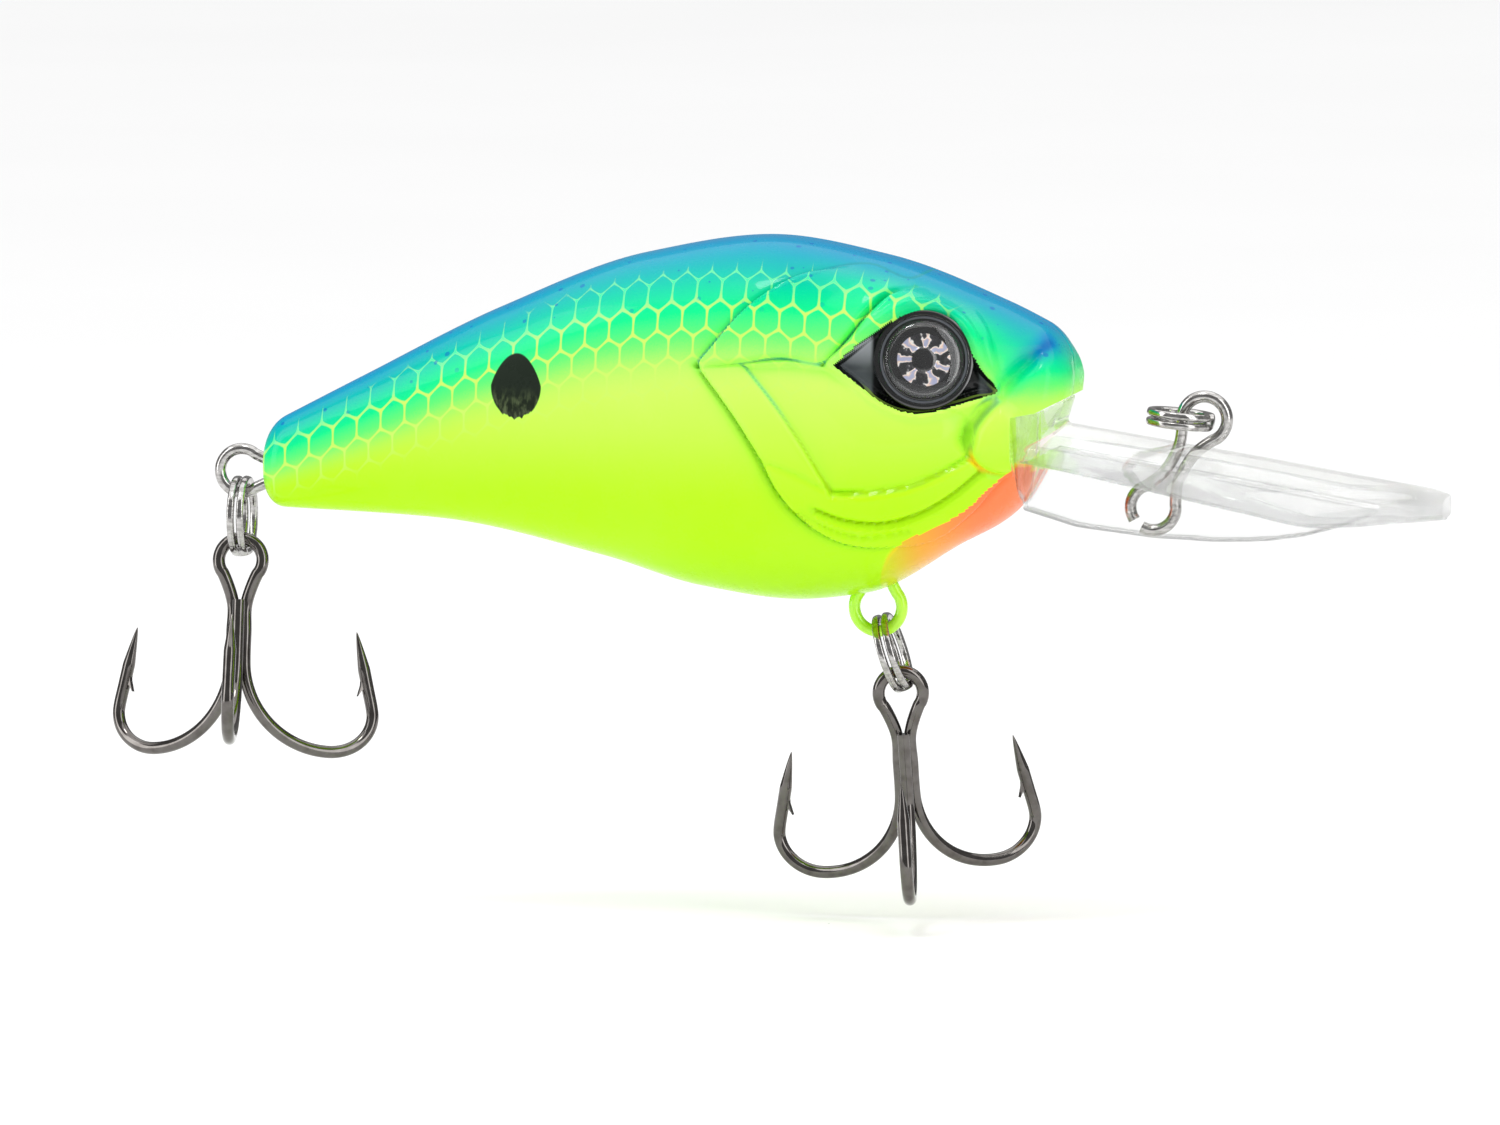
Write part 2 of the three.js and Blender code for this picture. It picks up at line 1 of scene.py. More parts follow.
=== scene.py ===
"""A deep-diving crankbait lure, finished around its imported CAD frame.

Every length below is in millimetres in the part's own frame (origin at the line-tie eye, +X the way
the lure is pulled, +Y its left side, +Z up) and is turned into metres when a mesh is made.
"""
import math
from collections import namedtuple

import bmesh
import bpy
import numpy as np
from mathutils import Matrix, Vector


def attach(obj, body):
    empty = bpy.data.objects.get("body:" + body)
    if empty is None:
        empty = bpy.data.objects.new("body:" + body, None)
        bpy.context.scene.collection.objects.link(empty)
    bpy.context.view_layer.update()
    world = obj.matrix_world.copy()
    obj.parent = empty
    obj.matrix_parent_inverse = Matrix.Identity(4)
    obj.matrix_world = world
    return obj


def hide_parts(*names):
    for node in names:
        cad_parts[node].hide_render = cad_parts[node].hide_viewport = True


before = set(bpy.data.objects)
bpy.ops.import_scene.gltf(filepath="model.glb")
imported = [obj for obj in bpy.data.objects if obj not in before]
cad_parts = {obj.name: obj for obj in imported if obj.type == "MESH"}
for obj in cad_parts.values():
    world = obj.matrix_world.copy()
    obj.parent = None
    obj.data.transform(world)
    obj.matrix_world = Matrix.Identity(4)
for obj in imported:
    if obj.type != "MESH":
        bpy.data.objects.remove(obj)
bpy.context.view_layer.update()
MM = 0.001

# ---- driving dimensions

TAIL_X, NOSE_X = -75.6, -10.3
TAIL_ROUND, NOSE_ROUND = 2.0, 2.4
BACK = [(-75.6, -1.6), (-67.7, 2.5), (-56.2, 8.3), (-44.6, 12.7), (-34.5, 14.2), (-25.3, 12.7),
        (-15.6, 9.1), (-10.3, 6.4)]
BELLY = [(-75.6, -7.9), (-61.3, -8.65), (-48, -11.4), (-40, -13.7), (-32.5, -14.65), (-26.7, -14.05),
         (-19.5, -10.2), (-15.05, -7.55), (-10.3, 0.6)]
HALF_WIDTH = [(-75.6, 2.3), (-61.9, 4.7), (-50, 7.4), (-40, 9.4), (-31, 10), (-22, 9.2), (-15, 6.9),
              (-10.3, 5.4)]
SECTION_POWER = 2.25
END_POWER = 2.6
WALL = 1.3
CAVITY_FRONT_X = -24.5
SEAM_DEPTH, SEAM_WIDTH = 0.1, 0.14
THROAT_X = -14.3
MOUTH_ROOF = [(THROAT_X, 0.5), (-12.6, 0.75), (-10, 2.05)]
BLOCK_WIDTH = 40

EYE_CENTRE = (-21, 8.3, 5.1)
EYE_AXIS = (0.25, 1, 0.22)
EYE_RADIUS = 3.95
EYE_FRONT, EYE_BACK = -0.28, -1.75
EYE_SINK = 0.75
DOME_RADIUS, DOME_RISE = 3.1, 0.62
DOME_INNER_RADIUS, DOME_INNER_RISE = 2.95, 0.3

LIP_TIP_X = 19.3
LIP_ROOT_Z = 0.15
LIP_SLOPE = -0.1733
LIP_THICKNESS = 2.0
LIP_HALF_WIDTH = [(THROAT_X, 6.2), (-10, 7.1), (-5, 9), (0, 11), (5, 12.3), (9, 12.5), (13, 11.3),
                  (16, 9), (18.2, 5.8), (LIP_TIP_X, 2.6)]
LIP_DROOP = [(THROAT_X, 1.75), (-5, 1.7), (4, 1.75), (9, 1.95), (13, 1.35), (16, 0.6), (LIP_TIP_X, 0)]
LIP_DROOP_POWER = 2.2
LIP_VOXEL, LIP_SMOOTHING = 0.17, 8
KEEL_WIDTH = 2.6
KEEL_FRONT_X = 15
KEEL_BOTTOM = [(THROAT_X, -7.3), (-10, -8.6), (-4, -9.35), (1, -9.6), (5, -9.5), (8, -9.1), (11, -8.3),
               (13.5, -7.3)]

TIE_RADIUS, TIE_WIRE = 1.8, 0.95
TIE_LOWER_EYE = (-4.05, -7.0)
BELLY_EYE, BELLY_RADIUS, BELLY_WIRE = (-26.05, -15.25), 1.9, 0.95
TAIL_EYE, TAIL_RADIUS, TAIL_WIRE = (-77.4, -5.15), 1.75, 0.9

BELLY_LEG, TAIL_LEG, LEG_FOOT, LEG_SPREAD = 8, 9, 1.5, 0.7

# Split rings of two coils. Where the wire starts, crosses over and ends is in degrees round the ring.
RING_RADIUS, RING_PITCH = 2.9, 0.74
RING_SECTION = (0.64, 0.58)
RING_START, RING_END = 22, 698
CROSSING_START, CROSSING_END = 340, 380
TIE_RING_RADIUS = 2.4
TIE_RING_CENTRE, TIE_RING_TILT = (-1.9, 0), 6

HOOK_WIRE = 1.0
HOOK_EYE_RADIUS = 1.75
HOOK_NECK_Z = -4.6
HOOK_SHANK_OFFSET = 0.61
HOOK_BOTTOM = (8.1, -16.6)
HOOK_OUTSIDE = (11.8, -13.6)
HOOK_BEND_RISE = 6.9
HOOK_BEND_END = 372
HOOK_POINT = (10.2, -6.9)
HOOK_POINT_LENGTH = 3
HOOK_TIP_SHARE = 0.06
PAIR_AZIMUTHS, SINGLE_AZIMUTH = (30, 150), 270

# How each ring and its treble hang: places and drops in millimetres, turns in degrees.
Hanging = namedtuple("Hanging", "eye ring_drop ring_lean hook_drop lean swing yaw single_turn")
TREBLES = {
    "front": Hanging(BELLY_EYE, ring_drop=3.78, ring_lean=18, hook_drop=1.6, lean=3, swing=7, yaw=10,
                     single_turn=-4.5),
    "rear": Hanging(TAIL_EYE, ring_drop=3.63, ring_lean=0, hook_drop=1.78, lean=0, swing=-10, yaw=4,
                    single_turn=4.5),
}

# ---- numbers and curves


def along(pairs, x):
    """Monotone cubic curve through (x, value) pairs, for a number or an array."""
    px, pv = np.array(pairs, float).T
    rise = np.diff(pv) / np.diff(px)
    slope = np.concatenate([[rise[0]], np.zeros(len(px) - 2), [rise[-1]]])
    before, after = rise[:-1], rise[1:]
    same = before * after > 0
    slope[1:-1][same] = 2 * before[same] * after[same] / (before[same] + after[same])
    x = np.clip(np.asarray(x, float), px[0], px[-1])
    i = np.clip(np.searchsorted(px, x, side="left") - 1, 0, len(px) - 2)
    width = px[i + 1] - px[i]
    t = (x - px[i]) / width
    return ((2 * t**3 - 3 * t**2 + 1) * pv[i] + (t**3 - 2 * t**2 + t) * width * slope[i]
            + (3 * t**2 - 2 * t**3) * pv[i + 1] + (t**3 - t**2) * width * slope[i + 1])


def smoothstep(low, high, value):
    t = np.clip((value - low) / (high - low), 0, 1)
    return t * t * (3 - 2 * t)


def spline(points, per_span=8):
    """Centripetal Catmull-Rom curve through points, as an array."""
    p = np.array(points, float)
    p = np.vstack([2 * p[0] - p[1], p, 2 * p[-1] - p[-2]])
    out = []
    for a, b, c, d in zip(p, p[1:], p[2:], p[3:]):
        k0 = 0
        k1 = k0 + max(np.linalg.norm(b - a), 1e-6) ** 0.5
        k2 = k1 + max(np.linalg.norm(c - b), 1e-6) ** 0.5
        k3 = k2 + max(np.linalg.norm(d - c), 1e-6) ** 0.5
        for k in np.linspace(k1, k2, per_span, endpoint=False):
            ab = (k1 - k) / (k1 - k0) * a + (k - k0) / (k1 - k0) * b
            bc = (k2 - k) / (k2 - k1) * b + (k - k1) / (k2 - k1) * c
            cd = (k3 - k) / (k3 - k2) * c + (k - k2) / (k3 - k2) * d
            abc = (k2 - k) / (k2 - k0) * ab + (k - k0) / (k2 - k0) * bc
            bcd = (k3 - k) / (k3 - k1) * bc + (k - k1) / (k3 - k1) * cd
            out.append((k2 - k) / (k2 - k1) * abc + (k - k1) / (k2 - k1) * bcd)
    out.append(p[-2])
    return np.array(out)


def distance_to(points, line):
    """Each point's distance to a polyline."""
    best = np.full(len(points), np.inf)
    for a, b in zip(line, line[1:]):
        span = b - a
        share = np.clip((points - a) @ span / max(span @ span, 1e-12), 0, 1)
        best = np.minimum(best, np.linalg.norm(points - a - share[:, None] * span, axis=1))
    return best


def inside(xz, outline):
    """Which points of the XZ plane a closed outline holds."""
    odd = np.zeros(len(xz), bool)
    x, z = xz.T
    for (x0, z0), (x1, z1) in zip(outline, np.roll(outline, -1, axis=0)):
        crosses = (z0 > z) != (z1 > z)
        at = x0 + (z - z0) * (x1 - x0) / (z1 - z0 if z1 != z0 else 1e-9)
        odd ^= crosses & (x < at)
    return odd


# ---- meshes


def mesh_piece(name, points, faces, smooth_angle=None):
    """A new piece from points in millimetres; edges sharper than smooth_angle stay sharp."""
    mesh = bpy.data.meshes.new(name)
    mesh.from_pydata((np.asarray(points) * MM).tolist(), [], [tuple(map(int, f)) for f in faces])
    mesh.update()
    piece = bpy.data.objects.new(name, mesh)
    bpy.context.collection.objects.link(piece)
    mesh.shade_smooth()
    if smooth_angle:
        mesh.set_sharp_from_angle(angle=math.radians(smooth_angle))
    return piece


def apply_modifiers(piece):
    graph = bpy.context.evaluated_depsgraph_get()
    new = bpy.data.meshes.new_from_object(piece.evaluated_get(graph))
    old = piece.data
    piece.modifiers.clear()
    piece.data = new
    bpy.data.meshes.remove(old)
    new.materials.clear()
    new.shade_smooth()
    return piece


def combine(piece, other, operation):
    """Joins, cuts or intersects a piece with another, which is used up."""
    modifier = piece.modifiers.new("combine", "BOOLEAN")
    modifier.operation = operation
    modifier.solver = "MANIFOLD"
    modifier.object = other
    bpy.context.view_layer.update()
    apply_modifiers(piece)
    bpy.data.objects.remove(other)
    return piece


def remeshed(piece, voxel, smoothing):
    """One even skin over a joined form, with its inner corners rounded."""
    remesh = piece.modifiers.new("remesh", "REMESH")
    remesh.mode = "VOXEL"
    remesh.voxel_size = voxel * MM
    smooth = piece.modifiers.new("smooth", "SMOOTH")
    smooth.factor = 0.5
    smooth.iterations = smoothing
    bpy.context.view_layer.update()
    return apply_modifiers(piece)


def ring_faces(rings, sides):
    """The quads between rings of points, each ring closed on itself."""
    faces = []
    for i in range(rings - 1):
        for j in range(sides):
            this, following = i * sides, (i + 1) * sides
            beside = (j + 1) % sides
            faces.append((this + j, this + beside, following + beside, following + j))
    return faces


def end_caps(rings, sides):
    """One face over the first ring and one over the last."""
    return [tuple(range(sides)), tuple(range((rings - 1) * sides, rings * sides))]


def swept(path, section, scale=None):
    """Points and faces of a section carried along a path, with closed ends."""
    path = np.asarray(path, float)
    section = np.asarray(section, float)
    tangents = np.gradient(path, axis=0)
    tangents /= np.linalg.norm(tangents, axis=1)[:, None]
    normal = np.cross(tangents[0], np.eye(3)[np.argmin(np.abs(tangents[0]))])
    normal /= np.linalg.norm(normal)
    points = []
    for i, (at, tangent) in enumerate(zip(path, tangents)):
        normal = normal - tangent * (normal @ tangent)
        normal /= np.linalg.norm(normal)
        binormal = np.cross(tangent, normal)
        size = 1 if scale is None else scale[i]
        points.append(at + size * (section[:, :1] * normal + section[:, 1:] * binormal))
    first, last = end_caps(len(path), len(section))
    faces = ring_faces(len(path), len(section)) + [tuple(reversed(first)), last]
    return np.vstack(points), [tuple(reversed(f)) for f in faces]


def circle(radius, sides=20):
    turn = np.linspace(0, 2 * math.pi, sides, endpoint=False)
    return np.column_stack([radius * np.cos(turn), radius * np.sin(turn)])


def wire_piece(name, points, diameter, pointed=None):
    """Round wire along points; pointed is "end" or "both" where it is ground to a hook's point."""
    path = spline(points, 7)
    scale = None
    if pointed:
        reach = np.concatenate([[0], np.cumsum(np.linalg.norm(np.diff(path, axis=0), axis=1))])
        left = np.minimum(reach[-1] - reach, reach if pointed == "both" else np.inf)
        taper = np.clip(left / HOOK_POINT_LENGTH, 0, 1) ** 0.8
        scale = HOOK_TIP_SHARE + (1 - HOOK_TIP_SHARE) * taper
    return mesh_piece(name, *swept(path, circle(diameter / 2), scale), smooth_angle=50)


def lathe(name, profile, segments=96):
    """Spins (radius, height) points about +Y; the profile starts and ends on the axis."""
    profile = np.array(profile, float)
    turn = np.linspace(0, 2 * math.pi, segments, endpoint=False)
    points = [(0, profile[0][1], 0), (0, profile[-1][1], 0)]
    for radius, height in profile[1:-1]:
        points += [(radius * math.sin(a), height, radius * math.cos(a)) for a in turn]
    rows = len(profile) - 2
    faces = []
    for i in range(segments):
        j = (i + 1) % segments
        faces.append((0, 2 + j, 2 + i))
        for row in range(rows - 1):
            a = 2 + row * segments
            faces.append((a + i, a + j, a + segments + j, a + segments + i))
        last = 2 + (rows - 1) * segments
        faces.append((1, last + i, last + j))
    return mesh_piece(name, points, faces, smooth_angle=35)


def plate(name, outline, width):
    """A plate of even width across Y with an outline in X and Z."""
    outline = np.array(outline, float)
    count = len(outline)
    points = [(x, side * width / 2, z) for side in (-1, 1) for x, z in outline]
    faces = [tuple(range(count)), tuple(reversed(range(count, 2 * count)))]
    faces += [(i, i + count, (i + 1) % count + count, (i + 1) % count) for i in range(count)]
    piece = mesh_piece(name, points, faces)
    fix_normals(piece)
    return piece


def fix_normals(piece):
    """Merges doubled corners and turns every face outward."""
    work = bmesh.new()
    work.from_mesh(piece.data)
    bmesh.ops.remove_doubles(work, verts=work.verts, dist=1e-8)
    bmesh.ops.dissolve_degenerate(work, dist=1e-8, edges=work.edges)
    bmesh.ops.recalc_face_normals(work, faces=work.faces)
    work.to_mesh(piece.data)
    work.free()
    piece.data.shade_smooth()


def place(piece, matrix):
    piece.data.transform(matrix)
    piece.data.update()
    return piece


def move(x, y, z):
    return Matrix.Translation((x * MM, y * MM, z * MM))


def turn_about(axis, degrees):
    return Matrix.Rotation(math.radians(degrees), 4, axis)


def polar(radius, degrees):
    """The two parts of a radius turned by an angle."""
    return radius * math.cos(math.radians(degrees)), radius * math.sin(math.radians(degrees))


def store(piece, name, values):
    """Keeps one number for each point of a piece, for its material to read."""
    attribute = piece.data.attributes.new(name, "FLOAT", "POINT")
    attribute.data.foreach_set("value", np.asarray(values, np.float32))


def finish_piece(piece, material, node, body):
    piece.data.materials.append(material)
    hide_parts(node)
    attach(piece, body)


# ---- material writing


def srgb(red, green, blue):
    """A colour given as seen on screen, 0 to 255, as linear light."""
    def linear(c):
        c /= 255
        return c / 12.92 if c <= 0.04045 else ((c + 0.055) / 1.055) ** 2.4
    return (linear(red), linear(green), linear(blue), 1)


class Finish:
    """One material, with short calls for the nodes that paint it."""

    def __init__(self, name, **sockets):
        self.material = bpy.data.materials.new(name)
        self.material.use_nodes = True
        self.tree = self.material.node_tree
        self.shader = self.tree.nodes["Principled BSDF"]
        for key, value in sockets.items():
            self.shader.inputs[key.replace("_", " ")].default_value = value

    def link(self, value, socket):
        if isinstance(value, bpy.types.NodeSocket):
            self.tree.links.new(value, socket)
        else:
            socket.default_value = value

    def set(self, name, value):
        self.link(value, self.shader.inputs[name])

    def node(self, kind, **inputs):
        """A new node, with numbers or other nodes' outputs on its inputs."""
        node = self.tree.nodes.new(f"ShaderNode{kind}")
        for name, value in inputs.items():
            self.link(value, node.inputs[name.replace("_", " ")])
        return node

    def math(self, operation, *values):
        node = self.node("Math")
        node.operation = operation
        for value, socket in zip(values, node.inputs):
            self.link(value, socket)
        return node.outputs[0]

    def add(self, a, b):
        return self.math("ADD", a, b)

    def sub(self, a, b):
        return self.math("SUBTRACT", a, b)

    def mul(self, first, *factors):
        for factor in factors:
            first = self.math("MULTIPLY", first, factor)
        return first

    def step(self, low, high, value):
        """0 at low, 1 at high, smooth between; low may be the larger."""
        node = self.node("MapRange", Value=value, From_Min=low, From_Max=high)
        node.interpolation_type = "SMOOTHSTEP"
        return node.outputs["Result"]

    def mix(self, share, a, b):
        """Colour a where share is 0, colour b where it is 1."""
        node = self.node("Mix")
        node.data_type = "RGBA"
        for value, socket in zip((share, a, b), ("Factor", 6, 7)):
            self.link(value, node.inputs[socket])
        return node.outputs[2]

    def ramp(self, value, *stops):
        node = self.node("ValToRGB", Fac=value)
        elements = node.color_ramp.elements
        while len(elements) < len(stops):
            elements.new(0.5)
        for element, (at, colour) in zip(elements, stops):
            element.position = at
            element.color = colour
        return node.outputs[0]

    def attribute(self, name):
        node = self.node("Attribute")
        node.attribute_name = name
        return node.outputs["Fac"]

    def position(self):
        """Millimetres along X, Y and Z."""
        split = self.node("SeparateXYZ", Vector=self.node("TexCoord").outputs["Object"])
        return [self.mul(socket, 1 / MM) for socket in split.outputs]

    def spread(self, per_mm, stretch=(1, 1, 1)):
        """The object's own coordinates, counting per_mm to the millimetre."""
        scale = [1 / MM * per_mm * s for s in stretch]
        return self.node("Mapping", Vector=self.node("TexCoord").outputs["Object"], Scale=scale).outputs[0]

    def noise(self, per_mm, detail=2, stretch=(1, 1, 1)):
        """Noise from 0 to 1, per_mm bumps to the millimetre."""
        where = self.spread(per_mm, stretch)
        return self.node("TexNoise", Vector=where, Scale=1, Detail=detail).outputs["Fac"]

    def dots(self, per_mm):
        """Distance to the nearest of scattered points, and each point's own number."""
        node = self.node("TexVoronoi", Vector=self.spread(per_mm), Scale=1)
        number = self.node("SeparateColor", Color=node.outputs["Color"])
        return node.outputs["Distance"], number.outputs[0]

    def bump(self, height, depth_mm):
        self.set("Normal", self.node("Bump", Height=height, Distance=depth_mm * MM, Strength=1).outputs[0])


def wear(painter, low, high):
    """Roughness that drifts between two values, as handled metal and plastic have."""
    patches = painter.noise(0.35, 3)
    fine = painter.noise(4, 2)
    both = painter.add(painter.mul(patches, 0.7), painter.mul(fine, 0.3))
    return painter.add(painter.mul(painter.step(0.35, 0.65, both), high - low), low)


# ---- the body's form

# Face lines, drawn on the side of the head in X and Z.
GILL_TOP = [(-39.0, 4.4), (-37.6, 6.1), (-35.6, 8.4), (-33.2, 10.2), (-30.0, 11.6), (-26.2, 12.2),
            (-22.6, 11.1)]
GILL_EDGE = [(-39.0, 4.4), (-36.2, 0.8), (-34.0, -2.6), (-32.4, -5.6), (-30.2, -8.0), (-27.5, -9.5),
             (-24.0, -9.8), (-20.7, -9.1), (-17.6, -6.9), (-15.0, -4.3)]
CREASE = [(-39.0, 4.4), (-35.4, 4.7), (-32.2, 5.1), (-28.9, 4.7)]
BROW_BACK = [(-28.9, 4.7), (-27.3, 6.3), (-25.6, 8.5), (-24.1, 9.8), (-22.2, 10.5)]
BROW_FRONT = [(-22.2, 10.5), (-19.6, 10.2), (-18.0, 9.5), (-16.8, 8.0), (-15.9, 6.0), (-15.2, 3.4)]
CHEEK_BACK = [(-35.3, 4.5), (-32.6, 1.3), (-30.4, -1.9), (-28.9, -4.4), (-28.2, -5.5)]
CHEEK_LOW = [(-28.2, -5.5), (-25.4, -5.5), (-22.2, -5.0), (-19.6, -3.9), (-17.5, -2.7)]
JAW_LINE = [(-29.6, -6.7), (-27.2, -7.6), (-24.2, -7.8), (-21.2, -6.9), (-18.8, -5.4), (-16.9, -3.8)]
JAW_LOWER = [(-30.6, -6.9), (-28.6, -8.1), (-26.0, -8.8), (-22.6, -8.3)]
SHORT_LINE = [(-33.6, -2.9), (-31.2, -3.8), (-28.7, -5.1)]
VALLEY = [(-11.6, 6.3), (-12.7, 5.3), (-14.0, 3.9), (-15.3, 2.2), (-16.3, 1.2), (-17.2, 0.0), (-17.7, -1.3)]
LIP_ROLL = [(-15.4, 2.2), (-16.6, 1.0), (-17.5, -0.6), (-17.7, -2.0), (-17.0, -3.2), (-15.8, -3.8),
            (-14.2, -3.5), (-13.4, -1.5), (-13.6, 0.8)]
MOUTH_CORNER = LIP_ROLL[2:7]
ALMOND = [(-28.0, 4.6), (-26.2, 6.2), (-24.5, 7.5), (-22.8, 8.4), (-20.9, 8.7), (-19.2, 8.1), (-17.9, 6.5),
          (-16.7, 4.3), (-15.5, 2.5), (-16.9, 2.0), (-18.4, 1.5), (-19.9, 1.1), (-21.6, 0.9), (-23.4, 1.3),
          (-25.1, 2.3), (-26.5, 3.5)]
THROAT_LINE = [(-13.2, -2.9), (-16.0, -5.05), (-17.8, -6.75), (-20.2, -8.2), (-22.6, -9.3), (-24.4, -10.9),
               (-25.2, -15)]

# Closed outlines on the face, made of the lines above and the points that join them.
GILL_PLATE = GILL_EDGE + [(-9, -3), (-9, 12), (-20, 12.5)] + GILL_TOP[:0:-1]
TEMPLE = CREASE[1:] + BROW_BACK[1:] + GILL_TOP[::-1]
CHEEK = CHEEK_BACK + CHEEK_LOW[1:] + [(-17.4, 0.5), (-24, 2.2), (-28.9, 4.5)]
BROW = BROW_BACK + BROW_FRONT[1:] + [(-16, 2.2), (-22, 4), (-28, 4.4)]
THROAT = THROAT_LINE + [(-5, -15), (-5, -3)]

# Plates of the face: outline, how far each stands out, and the length over which it fades into the form.
SHELVES = [(GILL_PLATE, 0.8, 6.0), (TEMPLE, 0.5, 3.2), (CHEEK, -0.55, 2.8)]
# Pressed lines: the line, its depth and its half width.
GROOVES = [(GILL_EDGE, 0.3, 0.32), (GILL_TOP, 0.26, 0.28), (CREASE, 0.34, 0.22), (CHEEK_BACK, 0.16, 0.2),
           (CHEEK_LOW, 0.36, 0.22), (JAW_LINE, 0.5, 0.28), (JAW_LOWER, 0.3, 0.26), (SHORT_LINE, 0.2, 0.18),
           (BROW_BACK, 0.36, 0.24), (MOUTH_CORNER, 0.3, 0.3)]
FACE_BACK_X = -41.5

# The middle of one row of scales, and the cell sizes of the stencil.
SCALE_LINE = [(-77, -3.0), (-68.7, 0.31), (-60.95, 2.91), (-53.3, 5.18), (-45, 7.25), (-39.4, 8.1),
              (-34, 8.2), (-30, 7.75), (-24, 6.9), (-18, 5.6)]
SCALE_ROW = 2.12
SCALE_WIDTH = 2.0
SCALE_SHIFT = 39.37

# Steps of the shell's mesh, and the lengths of its rounded ends that get their own close stations.
ROUND_STEPS, INNER_STEPS = 212, 24
TAIL_RUN, NOSE_RUN = 2.2, 2.6


def depth_below_back(x, z):
    return along(BACK, x) - z


def half_depth(x):
    return (along(BACK, x) - along(BELLY, x)) / 2


def mid_height(x):
    return (along(BACK, x) + along(BELLY, x)) / 2


def side_at(x, z):
    """How far the plain body stands out from its middle plane."""
    share = np.clip(np.abs(z - mid_height(x)) / half_depth(x), 0, 1)
    return along(HALF_WIDTH, x) * (1 - share**SECTION_POWER) ** (1 / SECTION_POWER)


def on_side(outline, closed=False):
    """A face line as a smooth curve lying on the +Y side of the body."""
    points = spline(outline + outline[:1] if closed else outline, 6)
    x, z = points.T
    return np.column_stack([x, side_at(x, z), z])


def depth_inside(points, outline):
    """Each point's distance in from a closed outline on the face, negative outside it."""
    curve = on_side(outline, closed=True)
    gap = distance_to(points, curve)
    return np.where(inside(points[:, [0, 2]], curve[:, [0, 2]]), gap, -gap)


def end_opening(x, tail, nose):
    def opened(distance, length):
        short = np.clip(1 - distance / length, 0, 1)
        return (1 - short**END_POWER) ** (1 / END_POWER)

    return np.minimum(opened(x - tail, TAIL_ROUND), opened(nose - x, NOSE_ROUND))


def form(x, angle, inset=0.0, tail=TAIL_X, nose=NOSE_X):
    """A point of the body's surface: angle 0 is the back, pi the belly, on the +Y side."""
    opening = end_opening(x, tail, nose)
    top, bottom = along(BACK, x) - inset, along(BELLY, x) + inset
    across, up = np.sin(angle), np.cos(angle)
    power = 2 / SECTION_POWER
    y = (along(HALF_WIDTH, x) - inset) * np.abs(across) ** power * opening
    z = (top + bottom) / 2 + (top - bottom) / 2 * np.sign(up) * np.abs(up) ** power * opening
    return np.stack([x + 0 * y, y, z], axis=-1)


def relief(points):
    """How far the moulded face stands out from the plain form, in millimetres."""
    height = np.zeros(len(points))
    head = points[:, 0] > FACE_BACK_X
    p = points[head]
    x, y, z = p.T
    h = np.zeros(len(p))
    for outline, rise, fade in SHELVES:
        d = depth_inside(p, outline)
        h += rise * smoothstep(-0.1, 0.3, d) * np.exp(-np.maximum(d, 0) / fade)
    for line, depth, width in GROOVES:
        h -= depth * np.exp(-(distance_to(p, on_side(line)) / width) ** 2)

    h += 0.8 * smoothstep(-0.12, 0.6, depth_inside(p, BROW)) * smoothstep(3.0, 6.5, z)
    almond = depth_inside(p, ALMOND)
    h -= 1.05 * smoothstep(-0.05, 0.5, almond)
    h += 0.3 * np.exp(-((almond + 0.3) / 0.26) ** 2)
    h += 0.4 * np.exp(-((almond - 0.66) / 0.2) ** 2) * smoothstep(3.4, 2.2, z)
    h += 1.0 * (1 - np.exp(-np.maximum(depth_inside(p, LIP_ROLL), 0) / 0.8))
    d = distance_to(p, on_side(VALLEY))
    h -= (0.75 * np.exp(-(d / 0.6) ** 2) + 0.35 * np.exp(-(d / 1.9) ** 2)) * smoothstep(-10.8, -12.4, x)
    height[head] = h * smoothstep(0.4, 3.0, np.abs(y)) * smoothstep(0.8, 3.4, depth_below_back(x, z))
    return height


def stations():
    """Places along the body, close together on the face and at the rounded ends."""
    tail_end = TAIL_X + TAIL_RUN * (1 - np.cos(np.linspace(0, math.pi / 2, 16)))
    nose_end = NOSE_X - NOSE_RUN * np.cos(np.linspace(0, math.pi / 2, 24))
    runs = [(TAIL_X + TAIL_RUN, -41, 60), (-41, -29.5, 48), (-29.5, -14, 122), (-14, NOSE_X - NOSE_RUN, 9)]
    return np.concatenate([tail_end] + [np.linspace(*run)[1:] for run in runs] + [nose_end[1:]])


def round_angles():
    """Angles round the body from the back to the belly, close together beside the eyes."""
    angle = np.linspace(0, math.pi, 800)
    density = 1 + 1.5 * np.exp(-((angle - 1.25) / 0.45) ** 2)
    share = np.concatenate([[0], np.cumsum((density[1:] + density[:-1]) / 2)])
    return np.interp(np.linspace(0, share[-1], ROUND_STEPS), share, angle)


def outward(grid):
    """The outward direction at each point of a grid of points on the +Y side."""
    normal = np.cross(np.gradient(grid, axis=0), np.gradient(grid, axis=1))
    length = np.linalg.norm(normal, axis=2, keepdims=True)
    normal = np.where(length > 1e-9, normal / np.maximum(length, 1e-9), 0)
    faces_in = normal[grid.shape[0] // 2, grid.shape[1] // 2, 1] < 0
    return -normal if faces_in else normal


def sunk_under_eye(skin):
    """Presses the skin in where the drum of the eye covers it."""
    axis = np.array(EYE_AXIS) / np.linalg.norm(EYE_AXIS)
    from_centre = skin - np.array(EYE_CENTRE)
    reach = from_centre @ axis
    from_axis = np.linalg.norm(from_centre - reach[..., None] * axis, axis=2)
    covered = smoothstep(EYE_RADIUS - 0.05, EYE_RADIUS - 0.35, from_axis)
    press = np.maximum(reach + EYE_SINK, 0) * covered
    return skin - np.where(skin[..., 1] > 3, press, 0)[..., None] * axis


